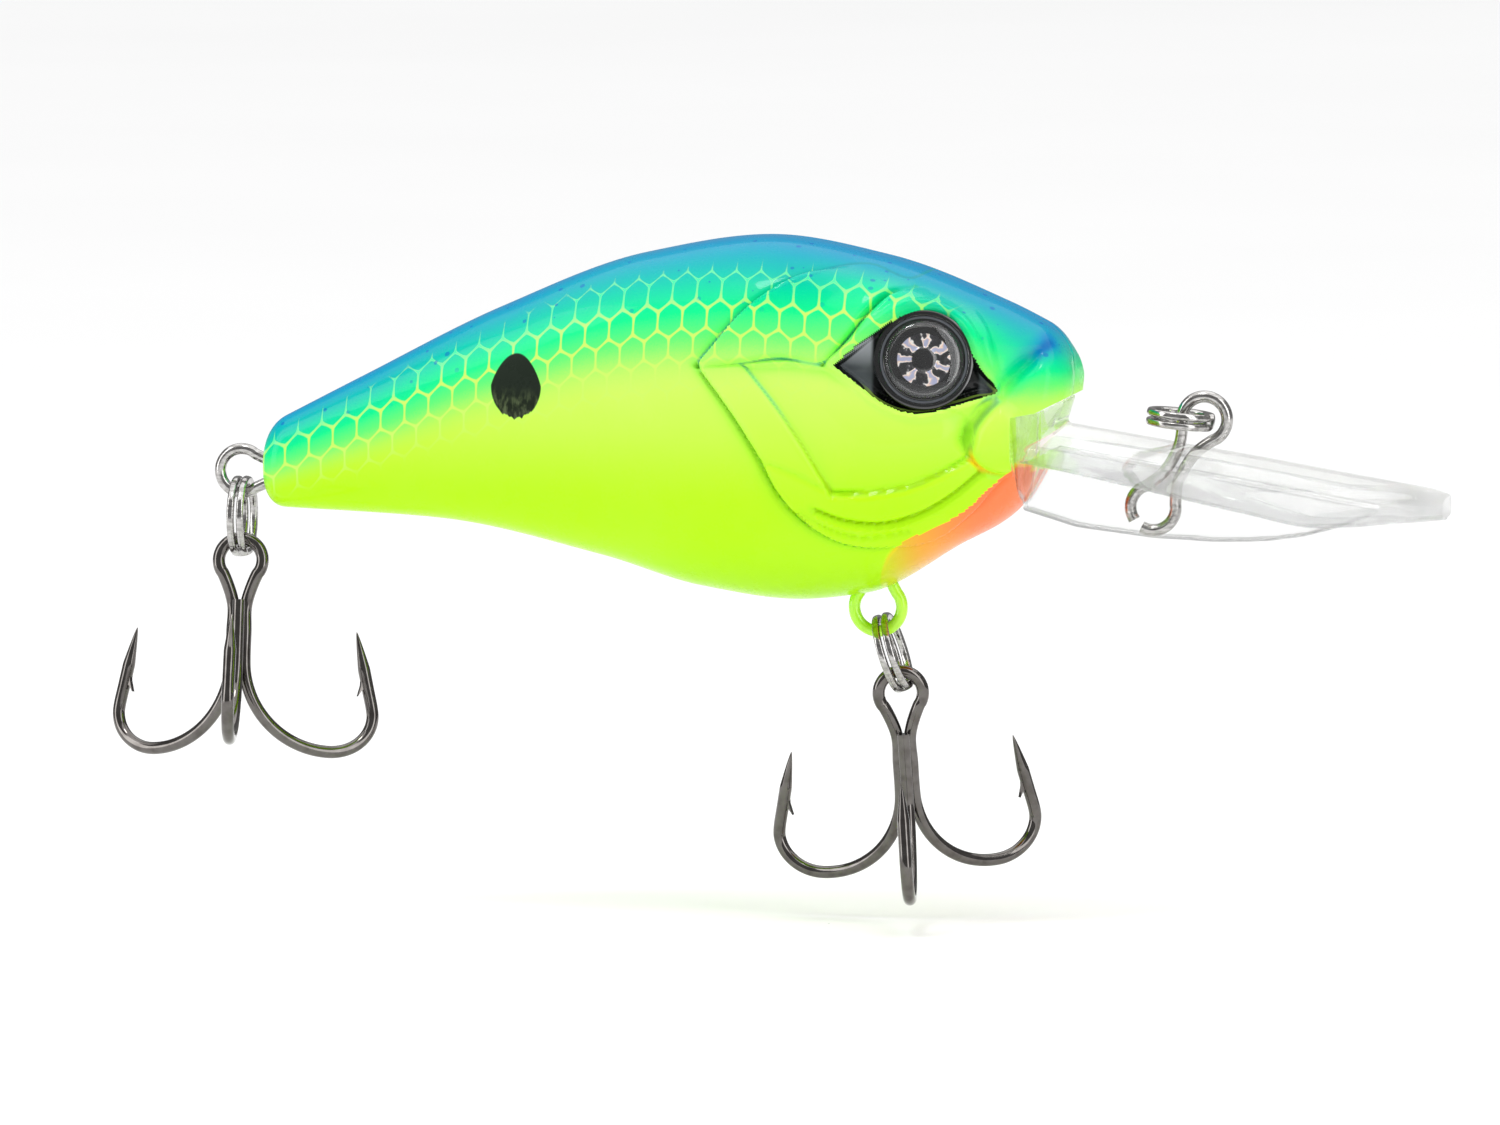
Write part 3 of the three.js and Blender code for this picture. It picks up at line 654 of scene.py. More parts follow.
def outer_skin(xs):
    """The moulded skin of the +Y side, with a fine seam at the middle plane."""
    plain = form(xs[:, None], round_angles()[None, :])
    height = relief(plain.reshape(-1, 3)).reshape(plain.shape[:2])
    seam = SEAM_DEPTH * np.exp(-(plain[..., 1] / SEAM_WIDTH) ** 2)
    away = (height - seam)[..., None] * outward(plain)
    away[..., 1] *= smoothstep(0.0, 0.6, plain[..., 1])
    skin = plain + away
    skin[..., 1] = np.maximum(skin[..., 1], 0)
    skin[:, [0, -1], 1] = 0
    return sunk_under_eye(skin)


def inner_skin(xs, skin):
    """The cavity's wall from belly to back; at the solid ends it lies flat on the middle plane."""
    tail, nose = TAIL_X + WALL, CAVITY_FRONT_X
    angle = np.linspace(math.pi, 0, INNER_STEPS)
    wall = form(np.clip(xs, tail, nose)[:, None], angle[None, :], WALL, tail, nose)
    solid = ((xs <= tail) | (xs >= nose))[:, None]
    share = np.linspace(0.97, 0.03, INNER_STEPS)
    low, high = skin[:, -1:, 2], skin[:, :1, 2]
    wall[..., 0] = xs[:, None]
    wall[..., 1] = np.where(solid, 0, wall[..., 1])
    wall[..., 2] = np.where(solid, high + (low - high) * share, wall[..., 2])
    return wall


def shell_loops():
    """The closed half shell on the +Y side: at each station, out over the skin and back inside."""
    xs = stations()
    skin = outer_skin(xs)
    return np.concatenate([skin, inner_skin(xs, skin)], axis=1)


def mouth_block():
    outline = [(THROAT_X, -20), (5, -20), (5, MOUTH_ROOF[-1][1])] + MOUTH_ROOF[::-1]
    return plate("mouth_block", outline, BLOCK_WIDTH)


def store_paint_coordinates(piece):
    """Stores where each point lies on the painted body, for the paint to read."""
    points = np.array([v.co for v in piece.data.vertices]) / MM
    points[:, 1] = np.abs(points[:, 1])
    x, _, z = points.T
    near = x > -42
    head = points[near]

    def nearest(*lines):
        d = np.full(len(points), 9.0)
        for line in lines:
            d[near] = np.minimum(d[near], distance_to(head, on_side(line)))
        return d

    def signed(outline):
        d = np.full(len(points), -9.0)
        d[near] = depth_inside(head, outline)
        return d

    depth = depth_below_back(x, z)
    brow = smoothstep(-33, -23, x) * smoothstep(-13.5, -17.5, x) * smoothstep(0.5, 2.5, depth)
    store(piece, "row", (along(SCALE_LINE, x) - z) / SCALE_ROW)
    store(piece, "spray", 3.7 * depth / np.sqrt(half_depth(x)) + 1.8 * brow)
    store(piece, "almond", signed(ALMOND))
    store(piece, "throat", signed(THROAT))
    store(piece, "gill", signed(GILL_PLATE))
    store(piece, "crease", nearest(CREASE, BROW_BACK, CHEEK_BACK, CHEEK_LOW, JAW_LINE, JAW_LOWER))
    store(piece, "valley", nearest(VALLEY, LIP_ROLL[:4]))
    store(piece, "mouth", nearest(MOUTH_CORNER))


def make_shell(side, word, loops, paint):
    loops = loops * (1, side, 1)
    rings, sides = loops.shape[:2]
    faces = ring_faces(rings, sides) + end_caps(rings, sides)
    piece = mesh_piece(f"shell_{word}_skin", loops.reshape(-1, 3), faces)
    fix_normals(piece)
    combine(piece, mouth_block(), "DIFFERENCE")
    piece.data.set_sharp_from_angle(angle=math.radians(40))
    store_paint_coordinates(piece)
    finish_piece(piece, paint, f"shell_{word}", "body")


# ---- paint

# Back to flank: how deep below the back, as a share of SPRAY_REACH, each sprayed colour is met.
SPRAY_REACH = 14
SPRAYED = [(0.0, srgb(0, 130, 178)), (0.06, srgb(0, 150, 174)), (0.12, srgb(0, 166, 166)),
           (0.19, srgb(0, 184, 158)), (0.27, srgb(0, 204, 146)), (0.37, srgb(16, 222, 132)),
           (0.5, srgb(92, 238, 112)), (0.68, srgb(150, 248, 92))]
SPOT_CENTRE = (-54.0, 2.4)
SPOT_SIZE = (2.12, 2.55)


def scale_cells(paint, x, row):
    """Distance from the middle of a hexagonal scale, 0 to 0.5 at its edge."""
    mul, add = paint.mul, paint.add
    across = paint.math("DIVIDE", add(x, SCALE_SHIFT), SCALE_WIDTH)
    down = mul(row, math.sqrt(3) / 2)

    def cell(shift):
        sides = []
        for value, period in ((across, 1), (down, math.sqrt(3))):
            moved = add(value, 50 * period + (period / 2 if shift else 0))
            wrapped = paint.math("FLOORED_MODULO", add(moved, period / 2), period)
            sides.append(paint.math("ABSOLUTE", paint.sub(wrapped, period / 2)))
        slanted = add(mul(sides[0], 0.5), mul(sides[1], math.sqrt(3) / 2))
        straight = paint.math("MAXIMUM", sides[0], slanted)
        square = add(mul(sides[0], sides[0]), mul(sides[1], sides[1]))
        round_off = mul(paint.math("SQRT", square), 0.93)
        return add(mul(straight, 0.62), mul(round_off, 0.38))

    return paint.math("MINIMUM", cell(False), cell(True))


def flank_colour_with_painted_sheen_and_shade(paint, z, drift):
    """The chartreuse of flank and belly: paler and bluer above as a painted sheen, deeper downward and
    darkest under the belly as painted shade, and in patches.
    """
    # Paler, bluer upper flank as a painted sheen; deeper lower flank as painted shade.
    base = paint.mix(paint.step(7.5, -7.0, z), srgb(200, 254, 112), srgb(180, 238, 16))
    base = paint.mix(paint.mul(paint.step(0.35, 0.7, drift), 0.15), base, srgb(186, 255, 66))
    # Painted shade darkens the lowest belly.
    return paint.mix(paint.mul(paint.step(-9.0, -14.0, z), 0.6), base, srgb(162, 224, 8))


def sprayed_scales(paint, base, x, spray, layer):
    """The blue and green coats sprayed through a net, and fine specks of blue."""
    step, mul, mix = paint.step, paint.mul, paint.mix
    sprayed = paint.ramp(paint.math("DIVIDE", layer, SPRAY_REACH), *SPRAYED)
    thin = mul(step(4.6, 1.8, layer), 0.03)
    cell = paint.sub(scale_cells(paint, x, paint.attribute("row")), thin)
    net = mul(step(1.4, 2.6, layer), step(13.0, 9.0, spray))
    lines = mul(step(0.43, 0.475, cell), net, step(-18.2, -21.0, x))
    line_colour = mix(step(2.4, 5.6, layer), srgb(40, 222, 160), srgb(190, 253, 100))
    cover = mul(step(11.4, 7.0, layer), paint.sub(1.0, lines))
    colour = mix(cover, mix(lines, base, line_colour), sprayed)
    speck, number = paint.dots(1.1)
    size = mul(step(0.5, 1.0, number), 0.25)
    specks = mul(paint.math("LESS_THAN", speck, size), step(6.5, 2.5, spray))
    return mix(mul(specks, 0.6), colour, srgb(0, 84, 168))


def face_lines(paint, colour, x, z, valley):
    """Darker colour in the pressed lines of the face and along the gill plate's edge: partly paint gathered
    there, partly painted shade.
    """
    step, mul, mix = paint.step, paint.mul, paint.mix
    # Pressed lines darkened: partly paint gathered in them, partly painted shade.
    pressed = mul(step(0.36, 0.06, paint.attribute("crease")), 0.8)
    shade = mix(step(2.5, -1.0, z), srgb(0, 168, 130), srgb(148, 196, 0))
    colour = mix(pressed, colour, shade)
    # Dark line just outside the gill plate: partly teal and green paint, partly painted shade under the
    # raised plate's step.
    gill = paint.attribute("gill")
    edge = mul(step(-0.42, -0.12, gill), step(0.12, -0.06, gill))
    edge = mul(edge, step(-12.6, -14.5, x), 0.85)
    edge_colour = mix(step(5.2, 3.6, z), srgb(0, 140, 150), srgb(104, 188, 4))
    colour = mix(edge, colour, edge_colour)
    # Dark teal-blue in the valley beside the nose: partly paint gathered there, partly painted shade.
    valley_paint_and_shade = mix(step(2.8, 0.4, z), srgb(0, 100, 168), srgb(0, 124, 74))
    return mix(mul(step(0.7, 0.12, valley), 0.9), colour, valley_paint_and_shade)


def orange_throat(paint, colour, x, z):
    """The orange under the mouth, its yellow border, and amber in the corner of the mouth."""
    step, mul, mix = paint.step, paint.mul, paint.mix
    throat = paint.attribute("throat")
    glow = mul(step(-0.12, 0.12, throat), step(-27.0, -21.5, x))
    orange = mix(step(-16.5, -24.5, x), srgb(250, 128, 78), srgb(226, 178, 48))
    colour = mix(glow, colour, orange)
    from_border = paint.math("ABSOLUTE", paint.sub(throat, 0.04))
    border = mul(step(0.34, 0.1, from_border), step(-25.5, -22.0, x))
    colour = mix(mul(border, 0.75), colour, srgb(255, 226, 30))
    corner = mul(step(0.6, 0.08, paint.attribute("mouth")), step(-0.6, -2.6, z))
    return mix(mul(corner, 0.75), colour, srgb(255, 190, 16))


def black_recess(paint, colour, x, z):
    """The black almond round the eye, with grey painted reflections in its corners, paler toward the top, and
    a lit lower lid.
    """
    step, mul, mix = paint.step, paint.mul, paint.mix
    almond = paint.attribute("almond")
    from_eye = paint.math("ABSOLUTE", paint.sub(x, EYE_CENTRE[0]))
    # Painted reflection: the almond's corners are grey, paler toward the top where more light falls.
    corner_reflection = mul(step(0.34, 0.5, almond), step(3.9, 4.3, from_eye))
    grey = mix(step(4.2, 6.4, z), srgb(84, 90, 92), srgb(150, 154, 158))
    black = mix(corner_reflection, srgb(15, 17, 17), grey)
    lid = mul(step(0.3, 0.38, almond), step(0.78, 0.7, almond), step(3.4, 2.4, z))
    black = mix(mul(lid, 0.8), black, srgb(120, 150, 60))
    return mix(step(-0.14, -0.02, almond), colour, black)


def side_spot(paint, colour, x, z):
    """The black spot behind the gill: an egg, ragged at its lower edge and worn grey."""
    step, mul, mix, sub, add = paint.step, paint.mul, paint.mix, paint.sub, paint.add
    ragged = mul(sub(paint.noise(2.4, 1, (1, 0.2, 0.12)), 0.5), step(1.4, -0.6, z))
    spot_z = paint.math("DIVIDE", sub(z, SPOT_CENTRE[1]), SPOT_SIZE[1])
    taper = add(1.0, mul(paint.math("MAXIMUM", spot_z, 0.0), 0.32))
    spot_x = mul(paint.math("DIVIDE", sub(x, SPOT_CENTRE[0]), SPOT_SIZE[0]), taper)
    reach = paint.math("SQRT", add(mul(spot_x, spot_x), mul(spot_z, spot_z)))
    spot = step(1.03, 0.97, add(reach, mul(ragged, 0.4)))
    patches = step(0.4, 0.7, paint.noise(3.2, 3, (1, 1, 0.4)))
    grey = mix(patches, srgb(28, 36, 24), srgb(78, 90, 62))
    return mix(spot, colour, mix(step(2.6, 0.6, z), srgb(30, 38, 30), grey))


def body_paint():
    paint = Finish("airbrushed body", Specular_IOR_Level=0.05, Coat_Weight=0.2, Coat_Roughness=0.04)
    x, _, z = paint.position()
    spray, valley = paint.attribute("spray"), paint.attribute("valley")
    mist, drift = paint.noise(9, 3), paint.noise(0.12, 2)
    # Bluer spray near the valley: partly paint gathered there, partly painted shade.
    valley_spray_and_shade = paint.mul(paint.step(1.7, 0.0, valley), paint.step(0.0, 3.6, z), 2.2)
    cast = paint.add(paint.sub(mist, 0.5), paint.mul(paint.sub(drift, 0.5), 0.8))
    layer = paint.sub(paint.add(spray, cast), valley_spray_and_shade)
    colour = sprayed_scales(paint, flank_colour_with_painted_sheen_and_shade(paint, z, drift), x, spray, layer)
    colour = face_lines(paint, colour, x, z, valley)
    colour = orange_throat(paint, colour, x, z)
    colour = black_recess(paint, colour, x, z)
    paint.set("Base Color", side_spot(paint, colour, x, z))
    paint.set("Roughness", wear(paint, 0.22, 0.32))
    paint.bump(paint.noise(0.55, 2), 0.008)
    return paint.material


# ---- other finishes


def clear_plastic():
    clear = Finish("clear polycarbonate", Transmission_Weight=1.0, IOR=1.3, Alpha=0.5)
    tint = clear.noise(0.05, 2)
    clear.set("Base Color", clear.mix(tint, (0.9, 0.925, 0.905, 1), (0.95, 0.96, 0.945, 1)))
    clear.set("Roughness", wear(clear, 0.0, 0.05))
    clear.bump(clear.noise(0.3, 2), 0.01)
    return clear.material


def clear_dome():
    """Thin clear resin: it lets the iris show and adds only a mirror-like gloss."""
    dome = Finish("eye dome", Metallic=1.0, Alpha=0.035)
    dome.set("Base Color", dome.mix(dome.noise(0.4, 2), (0.9, 0.92, 0.94, 1), (0.97, 0.97, 0.97, 1)))
    dome.set("Roughness", wear(dome, 0.02, 0.06))
    return dome.material


def bright_steel(name="bright wire", colour=(0.5, 0.49, 0.48), dark=(0.26, 0.25, 0.24), low=0.1, high=0.2):
    steel = Finish(name, Metallic=1.0)
    drawn = steel.noise(5, 3, (0.3, 1, 1))
    steel.set("Base Color", steel.mix(steel.step(0.35, 0.75, drawn), (*colour, 1), (*dark, 1)))
    steel.set("Roughness", wear(steel, low, high))
    steel.bump(drawn, 0.004)
    return steel.material


def black_nickel():
    nickel = Finish("black nickel", Metallic=1.0)
    mottle = nickel.noise(1.1, 3)
    share = nickel.step(0.35, 0.75, mottle)
    nickel.set("Base Color", nickel.mix(share, (0.15, 0.14, 0.133, 1), (0.105, 0.096, 0.09, 1)))
    nickel.set("Roughness", wear(nickel, 0.05, 0.1))
    nickel.bump(nickel.noise(3, 2), 0.002)
    return nickel.material


def painted_wire():
    paint = Finish("sprayed wire", Coat_Weight=0.8, Coat_Roughness=0.06)
    chips = paint.step(0.72, 0.76, paint.noise(1.6, 3))
    body = paint.mix(paint.noise(1.2, 2), srgb(196, 255, 36), srgb(172, 244, 24))
    paint.set("Base Color", paint.mix(chips, body, srgb(150, 150, 120)))
    paint.set("Roughness", wear(paint, 0.25, 0.4))
    paint.bump(paint.noise(1.6, 3), 0.02)
    return paint.material


def eye_black():
    """Gloss black drum with a silver foil iris round a black pupil."""
    eye = Finish("eye drum", Coat_Weight=1.0, Coat_Roughness=0.02)
    ring, turn = eye.attribute("from_axis"), eye.attribute("turn")
    foil = eye.mul(eye.step(0.92, 1.0, ring), eye.step(2.14, 2.06, ring))
    streak = eye.math("SINE", eye.add(eye.mul(turn, 7), eye.mul(eye.noise(1.2, 2), 8)))
    flash = eye.ramp(eye.step(-1, 1, streak), (0.0, srgb(22, 22, 26)), (0.35, srgb(66, 64, 70)),
                     (0.55, srgb(244, 240, 238)), (0.8, srgb(246, 214, 190)), (1.0, srgb(170, 174, 204)))
    band = eye.mul(eye.step(3.22, 3.3, ring), eye.step(3.5, 3.42, ring))
    colour = eye.mix(foil, srgb(10, 11, 12), flash)
    colour = eye.mix(eye.mul(band, 0.8), colour, srgb(96, 100, 106))
    eye.set("Base Color", colour)
    eye.set("Metallic", eye.mul(foil, 0.25))
    eye.set("Roughness", eye.add(eye.mul(foil, 0.2), 0.14))
    return eye.material


# ---- the eyes


def eye_matrix(side):
    axis = Vector((EYE_AXIS[0], side * EYE_AXIS[1], EYE_AXIS[2])).normalized()
    turn = Vector((0, 1, 0)).rotation_difference(axis).to_matrix().to_4x4()
    return move(EYE_CENTRE[0], side * EYE_CENTRE[1], EYE_CENTRE[2]) @ turn


def quarter_arc(radius, rise, turns):
    base = EYE_FRONT + 0.02
    return [(radius * math.cos(a), base + rise * math.sin(a)) for a in turns]


def make_eye(side, word, black, clear):
    rim = EYE_RADIUS
    face = [(rim, 0.14), (rim - 0.04, 0.05), (rim - 0.14, 0), (3.56, 0), (3.5, 0.05), (3.44, 0.16),
            (3.3, 0.16), (3.24, 0.05), (3.18, 0), (2.78, 0), (2.7, 0.06), (2.64, 0.2), (1.1, 0.2),
            (1.02, 0.14), (0.6, 0.1), (0, 0.08)]
    profile = [(0, EYE_BACK), (rim, EYE_BACK)] + [(radius, EYE_FRONT - sunk) for radius, sunk in face]
    drum = lathe(f"eye_disc_{word}_skin", profile)
    points = np.array([v.co for v in drum.data.vertices]) / MM
    store(drum, "from_axis", np.hypot(points[:, 0], points[:, 2]))
    store(drum, "turn", np.abs(np.arctan2(points[:, 2], points[:, 0])))
    inner = quarter_arc(DOME_INNER_RADIUS, DOME_INNER_RISE, np.linspace(math.pi / 2, 0, 12))
    outer = quarter_arc(DOME_RADIUS, DOME_RISE, np.linspace(0, math.pi / 2, 14))
    lens = lathe(f"eye_lens_{word}_skin", inner + outer)
    for piece, material, slot in ((drum, black, "eye_disc"), (lens, clear, "eye_lens")):
        place(piece, eye_matrix(side))
        fix_normals(piece)
        piece.data.set_sharp_from_angle(angle=math.radians(35))
        finish_piece(piece, material, f"{slot}_{word}", "body")


# ---- the diving lip


def lip_crest(x):
    return LIP_ROOT_Z + LIP_SLOPE * (x - THROAT_X)


def lip_blade():
    """The arched tongue, as one closed skin with a rounded edge."""
    share = np.linspace(0, 1, 90)
    xs = THROAT_X + (LIP_TIP_X - THROAT_X) * (0.5 * share + 0.5 * np.sin(share * math.pi / 2))
    top = np.linspace(1, -1, 60)
    across = np.concatenate([top, top[::-1]])
    level = np.repeat([0.5, -0.5], len(top))
    edge = np.sqrt(np.clip(1 - np.abs(across) ** 24, 0, 1))
    thickness = LIP_THICKNESS * (1 - 0.25 * across * across) * (0.35 + 0.65 * edge)
    crest, droop = lip_crest(xs)[:, None], along(LIP_DROOP, xs)[:, None]
    z = crest - droop * np.abs(across) ** LIP_DROOP_POWER - LIP_THICKNESS / 2 + level * thickness
    y = along(LIP_HALF_WIDTH, xs)[:, None] * across
    points = np.stack([xs[:, None] + 0 * y, y, z], axis=-1)
    faces = ring_faces(len(xs), len(across)) + end_caps(len(xs), len(across))
    piece = mesh_piece("diving_lip_skin", points.reshape(-1, 3), faces)
    fix_normals(piece)
    return piece


def plain_head():
    rings, sides = 60, 64
    xs = np.linspace(TAIL_X + 40, NOSE_X, rings)
    angle = np.linspace(0, 2 * math.pi, sides, endpoint=False)
    section = form(xs[:, None], angle[None, :])
    section[..., 1] *= np.where(angle > math.pi, -1, 1)
    head = mesh_piece("head", section.reshape(-1, 3), ring_faces(rings, sides) + end_caps(rings, sides))
    fix_normals(head)
    return head


def make_lip(clear):
    lip = lip_blade()
    under_crest = [(x, lip_crest(x) - LIP_THICKNESS / 2) for x in (KEEL_FRONT_X, THROAT_X)]
    combine(lip, plate("keel", KEEL_BOTTOM + under_crest, KEEL_WIDTH), "UNION")
    chin = [(THROAT_X, -8), (-10, -6), (-10, MOUTH_ROOF[-1][1])] + MOUTH_ROOF[::-1]
    root = combine(plate("chin", chin, BLOCK_WIDTH), plain_head(), "INTERSECT")
    combine(lip, root, "UNION")
    remeshed(lip, LIP_VOXEL, LIP_SMOOTHING)
    finish_piece(lip, clear, "diving_lip", "body")


# ---- wires and rings


def arc(radius, angles, centre_z=0.0):
    """(x, 0, z) points round a centre on the Z axis, at angles from +X towards +Z."""
    parts = (polar(radius, angle) for angle in angles)
    return [(x, 0, centre_z + z) for x, z in parts]


def eye_loop(radius, leg_length):
    """Wire eye with two legs, in its own XZ plane: the loop is centred on 0 and the legs run up +Z."""
    half = arc(radius, range(270, 139, -13))
    straight = leg_length - LEG_FOOT
    for height in (radius + 1, radius + 2, (radius + 2 + straight) / 2, straight):
        half.append((-LEG_SPREAD, 0, height))
    half.append((-LEG_SPREAD - 1, 0, leg_length))
    other = [(-x, y, z) for x, y, z in half[1:]]
    return half[::-1] + other


def tie_points():
    """The figure-eight wire: the line-tie loop above the lip and a second loop moulded into the keel."""
    reach = math.hypot(*TIE_LOWER_EYE)
    right = arc(TIE_RADIUS, range(90, -41, -13))
    right += [(LEG_SPREAD, 0, -TIE_RADIUS - 1), (LEG_SPREAD, 0, -reach + TIE_RADIUS + 1)]
    right += arc(TIE_RADIUS, range(40, -91, -13), -reach)
    left = [(-x, y, z) for x, y, z in right[1:-2]]
    return right[::-1] + left


def split_ring(name, radius):
    """Two coils of flattened wire with rounded corners, about the Z axis."""
    turn = np.linspace(RING_START, RING_END, 260)
    step = smoothstep(CROSSING_START, CROSSING_END, turn) - 0.5
    angle = np.radians(turn)
    path = np.column_stack([radius * np.cos(angle), radius * np.sin(angle), RING_PITCH * step])
    round_wire = circle(1)
    section = np.sign(round_wire) * np.abs(round_wire) ** (2 / 3.2) * (np.array(RING_SECTION) / 2)
    return mesh_piece(name, *swept(path, section), smooth_angle=50)


def make_wires(steel, sprayed):
    tilt = math.degrees(math.atan2(-TIE_LOWER_EYE[0], -TIE_LOWER_EYE[1]))
    tie = place(wire_piece("line_tie_wire_skin", tie_points(), TIE_WIRE), turn_about("Y", tilt))
    finish_piece(tie, steel, "line_tie_wire", "body")
    belly = wire_piece("belly_hanger_skin", eye_loop(BELLY_RADIUS, BELLY_LEG), BELLY_WIRE)
    place(belly, move(BELLY_EYE[0], 0, BELLY_EYE[1]))
    finish_piece(belly, sprayed, "belly_hanger", "body")
    tail = wire_piece("tail_hanger_skin", eye_loop(TAIL_RADIUS, TAIL_LEG), TAIL_WIRE)
    place(tail, move(TAIL_EYE[0], 0, TAIL_EYE[1]) @ turn_about("Y", 90))
    finish_piece(tail, steel, "tail_hanger", "body")
    ring = split_ring("line_tie_split_ring_skin", TIE_RING_RADIUS)
    place(ring, move(TIE_RING_CENTRE[0], 0, TIE_RING_CENTRE[1]) @ turn_about("Y", TIE_RING_TILT))
    finish_piece(ring, steel, "line_tie_split_ring", "line_tie_ring")


# ---- treble hooks


def bend_point(angle):
    """A point of the outer half of a hook's bend, from its bottom at 270 degrees to its end."""
    out, bottom = HOOK_BOTTOM
    across, _ = polar(HOOK_OUTSIDE[0] - out, angle)
    _, up = polar(HOOK_OUTSIDE[1] - bottom, angle)
    return out + across, HOOK_OUTSIDE[1] + up


def arm(top_z):
    """One hook arm in its own plane, as (out, up) points down from top_z and round to the point."""
    out, bottom = HOOK_BOTTOM
    bend_top = bottom + HOOK_BEND_RISE
    points = [(HOOK_SHANK_OFFSET, top_z), (HOOK_SHANK_OFFSET, (top_z + bend_top) / 2)]
    for angle in range(180, 270, 9):
        across, _ = polar(out - HOOK_SHANK_OFFSET, angle)
        _, up = polar(HOOK_BEND_RISE, angle)
        points.append((out + across, bend_top + up))
    points += [bend_point(angle) for angle in np.linspace(270, HOOK_BEND_END, 9)]
    start = np.array(points[-1])
    points += [tuple(start + share * (np.array(HOOK_POINT) - start)) for share in (0.25, 0.5, 0.75, 1)]
    return points


def turned(point, azimuth):
    """An (out, up) point of an arm, with the arm's plane turned about the shank."""
    out, up = point
    return (*polar(out, azimuth), up)


def add_barb(hook, azimuth):
    """A thin sliver cut up from the wire's inner side, below the point."""
    start_out, start_up = bend_point(HOOK_BEND_END)
    out, up = HOOK_POINT[0] - start_out, HOOK_POINT[1] - start_up
    reach = math.hypot(out, up) - HOOK_POINT_LENGTH - 0.7
    outline = [(-0.2, 1.3), (-0.33, 0.4), (-0.56, -0.5), (-1.02, -1.32), (-0.62, -0.95), (0.1, -0.7),
               (0.1, 0.6)]
    barb = plate("barb", outline, 0.34)
    at_start = turn_about("Z", azimuth) @ move(start_out, 0, start_up)
    place(barb, at_start @ turn_about("Y", math.degrees(math.atan2(out, up))) @ move(0, 0, reach))
    combine(hook, barb, "UNION")


def hook_pair(name):
    """Two arms bent from one wire, with the treble's eye between them."""
    left = arc(HOOK_EYE_RADIUS, range(90, 221, 13), -HOOK_EYE_RADIUS)
    right = [(-x, y, z) for x, y, z in left]
    near, far = PAIR_AZIMUTHS
    down = arm(HOOK_NECK_Z - 0.6)
    points = [turned(p, far) for p in down][::-1] + left[1:][::-1] + right + [turned(p, near) for p in down]
    piece = wire_piece(name, points, HOOK_WIRE, "both")
    for azimuth in PAIR_AZIMUTHS:
        add_barb(piece, azimuth)
    return piece


def hook_single(name):
    """The third arm, brazed to the pair's shank."""
    points = [turned(p, SINGLE_AZIMUTH) for p in arm(HOOK_NECK_Z - 0.35)]
    piece = wire_piece(name, points, HOOK_WIRE, "end")
    add_barb(piece, SINGLE_AZIMUTH)
    return piece


def hang_treble(name, h, steel, nickel):
    hung = move(h.eye[0], 0, h.eye[1]) @ turn_about("Y", -h.ring_lean) @ move(0, 0, -h.ring_drop)
    ring = place(split_ring(f"{name}_split_ring_skin", RING_RADIUS), hung @ turn_about("Y", 90))
    finish_piece(ring, steel, f"{name}_split_ring", f"{name}_ring")
    hang = hung @ turn_about("X", h.swing) @ move(0, 0, -h.hook_drop)
    hang = hang @ turn_about("Y", h.ring_lean - h.lean) @ turn_about("Z", h.yaw)
    pair = place(hook_pair(f"{name}_treble_pair_skin"), hang)
    single = place(hook_single(f"{name}_treble_single_skin"), hang @ turn_about("Z", h.single_turn))
    for piece, node in ((pair, f"{name}_treble_pair"), (single, f"{name}_treble_single")):
        piece.data.set_sharp_from_angle(angle=math.radians(40))
        finish_piece(piece, nickel, node, f"{name}_treble")


# ---- making the lure


def repaint(node, material):
    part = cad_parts[node]
    part.data.materials.clear()
    part.data.materials.append(material)


paint, clear, dome = body_paint(), clear_plastic(), clear_dome()
steel, nickel = bright_steel(), black_nickel()
loops = shell_loops()
for side, word in ((-1, "right"), (1, "left")):
    make_shell(side, word, loops, paint)
    make_eye(side, word, eye_black(), dome)
make_lip(clear)
make_wires(steel, painted_wire())
for name, hanging in TREBLES.items():
    hang_treble(name, hanging, steel, nickel)
repaint("belly_weight", bright_steel("ballast slug", (0.4, 0.4, 0.41), (0.3, 0.3, 0.31), 0.35, 0.55))
for number in (1, 2, 3):
    repaint(f"rattle_ball_{number}", steel)

# ---- floor, light and camera

FLOOR_Z, FLOOR_SIDES = -40.5, 72
LURE_X = -30
LURE_MIDDLE = (-35, 0, -5)
OVER_LURE = (-35, 0, 100)
CAMERA_AZIMUTH, CAMERA_ELEVATION = 10, 5
CAMERA_TARGET, CAMERA_DISTANCE = (-36.35, 0, -11.87), 1320
CAMERA_LENS = 400


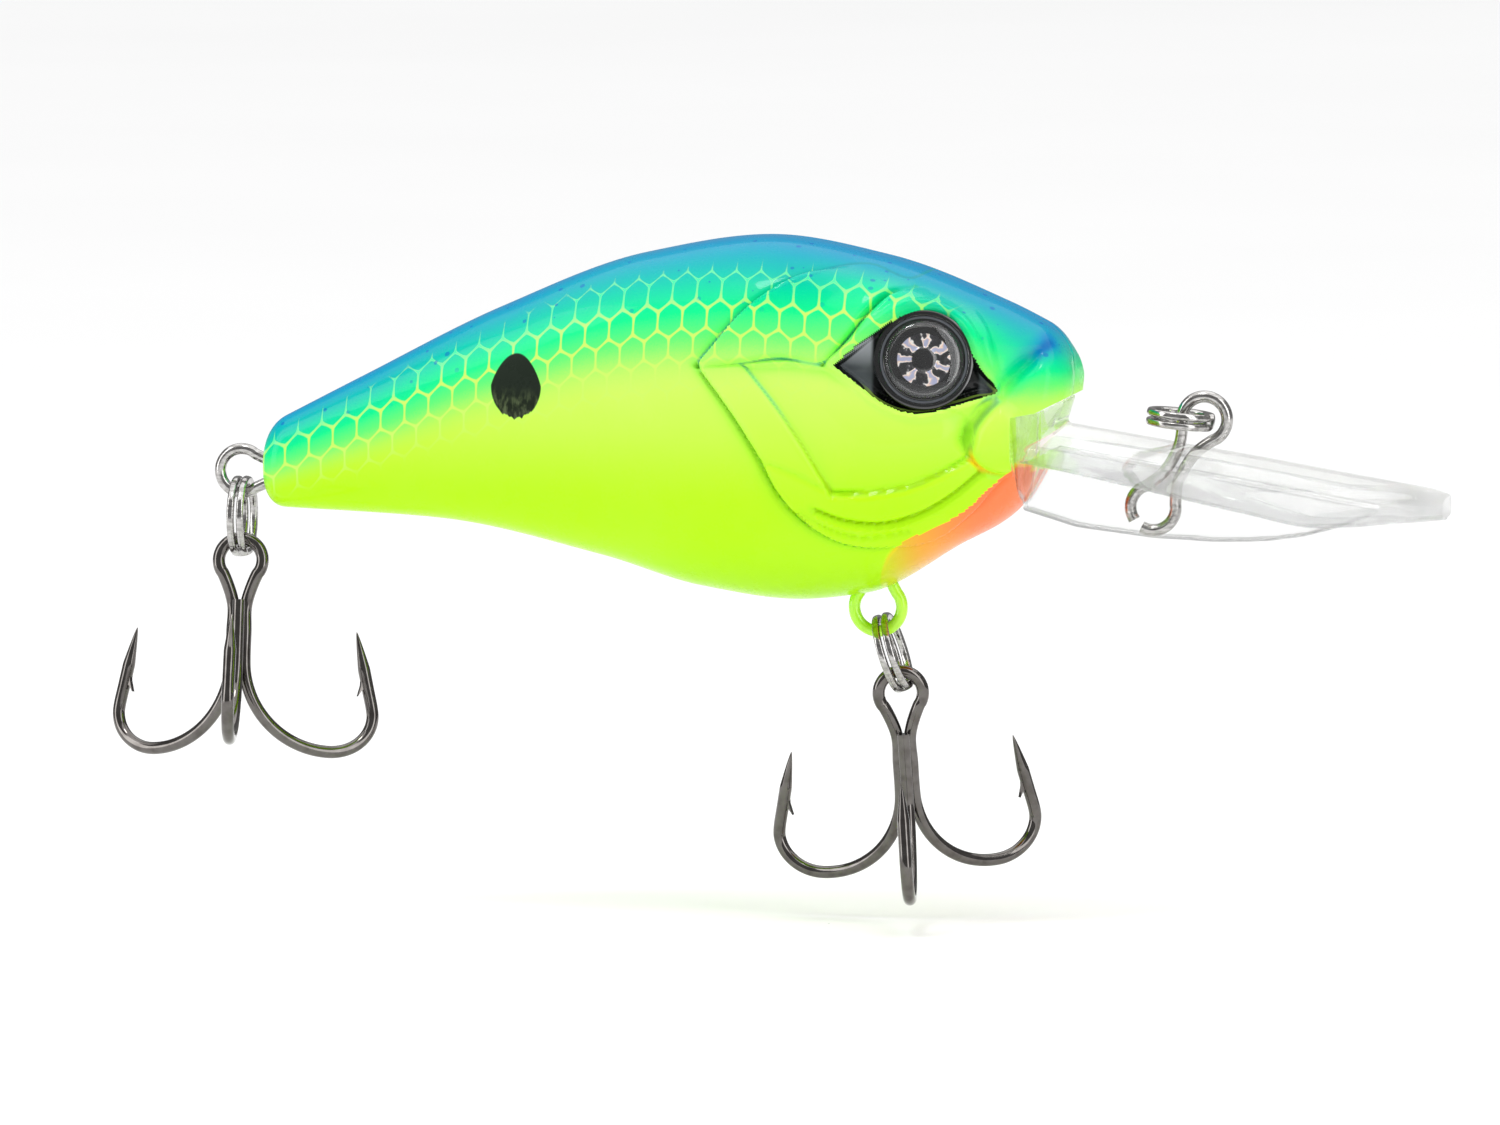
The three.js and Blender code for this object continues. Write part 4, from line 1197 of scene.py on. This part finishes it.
def make_floor():
    """A wide pale disc, lying level under the hooks."""
    points = [(x + LURE_X, y, FLOOR_Z) for radius in (0.1, 200, 6000) for x, y in circle(radius, FLOOR_SIDES)]
    floor = mesh_piece("floor", points, ring_faces(3, FLOOR_SIDES))
    pale = Finish("pale floor", Roughness=0.9, Specular_IOR_Level=0.0)
    pale.set("Base Color", pale.mix(pale.noise(0.01, 2), (0.9, 0.9, 0.9, 1), (0.93, 0.93, 0.93, 1)))
    floor.data.materials.append(pale.material)


def make_light(name, at, size, watts, target):
    """A soft light: one size makes a disc, two make an upright panel."""
    data = bpy.data.lights.new(name, "AREA")
    data.shape = "DISK" if np.isscalar(size) else "RECTANGLE"
    data.size = (size if np.isscalar(size) else size[0]) * MM
    if not np.isscalar(size):
        data.size_y = size[1] * MM
    data.energy = watts
    light = bpy.data.objects.new(name, data)
    light.location = Vector(at) * MM
    aim = (Vector(target) - Vector(at)).to_track_quat("-Z", "Y")
    light.rotation_euler = aim.to_euler()
    light.visible_camera = False
    bpy.context.collection.objects.link(light)


def make_camera():
    """A long lens on the lure's right side, a little ahead of it and a little above."""
    level, height = polar(1, CAMERA_ELEVATION)
    ahead, aside = polar(level, 90 - CAMERA_AZIMUTH)
    direction = Vector((ahead, -aside, height))
    data = bpy.data.cameras.new("camera")
    data.lens = CAMERA_LENS
    data.sensor_width = 36
    data.clip_start = 0.01
    camera = bpy.data.objects.new("camera", data)
    camera.location = (Vector(CAMERA_TARGET) + CAMERA_DISTANCE * direction) * MM
    camera.rotation_euler = (-direction).to_track_quat("-Z", "Y").to_euler()
    bpy.context.collection.objects.link(camera)
    bpy.context.scene.camera = camera


def make_world():
    world = bpy.data.worlds.new("studio")
    world.use_nodes = True
    background = world.node_tree.nodes["Background"]
    background.inputs["Color"].default_value = (1, 1, 1, 1)
    background.inputs["Strength"].default_value = 0.3
    bpy.context.scene.world = world


make_floor()
make_light("overhead", (0, 700, 3000), 6000, 133, (0, 700, 0))
make_light("key", (-90, -170, 430), 100, 0.4, LURE_MIDDLE)
make_light("left panel", (-420, -190, 200), (180, 480), 0.95, OVER_LURE)
make_light("right panel", (300, -260, 200), (180, 480), 0.85, OVER_LURE)
make_camera()
make_world()
bpy.context.scene.view_settings.view_transform = "Standard"
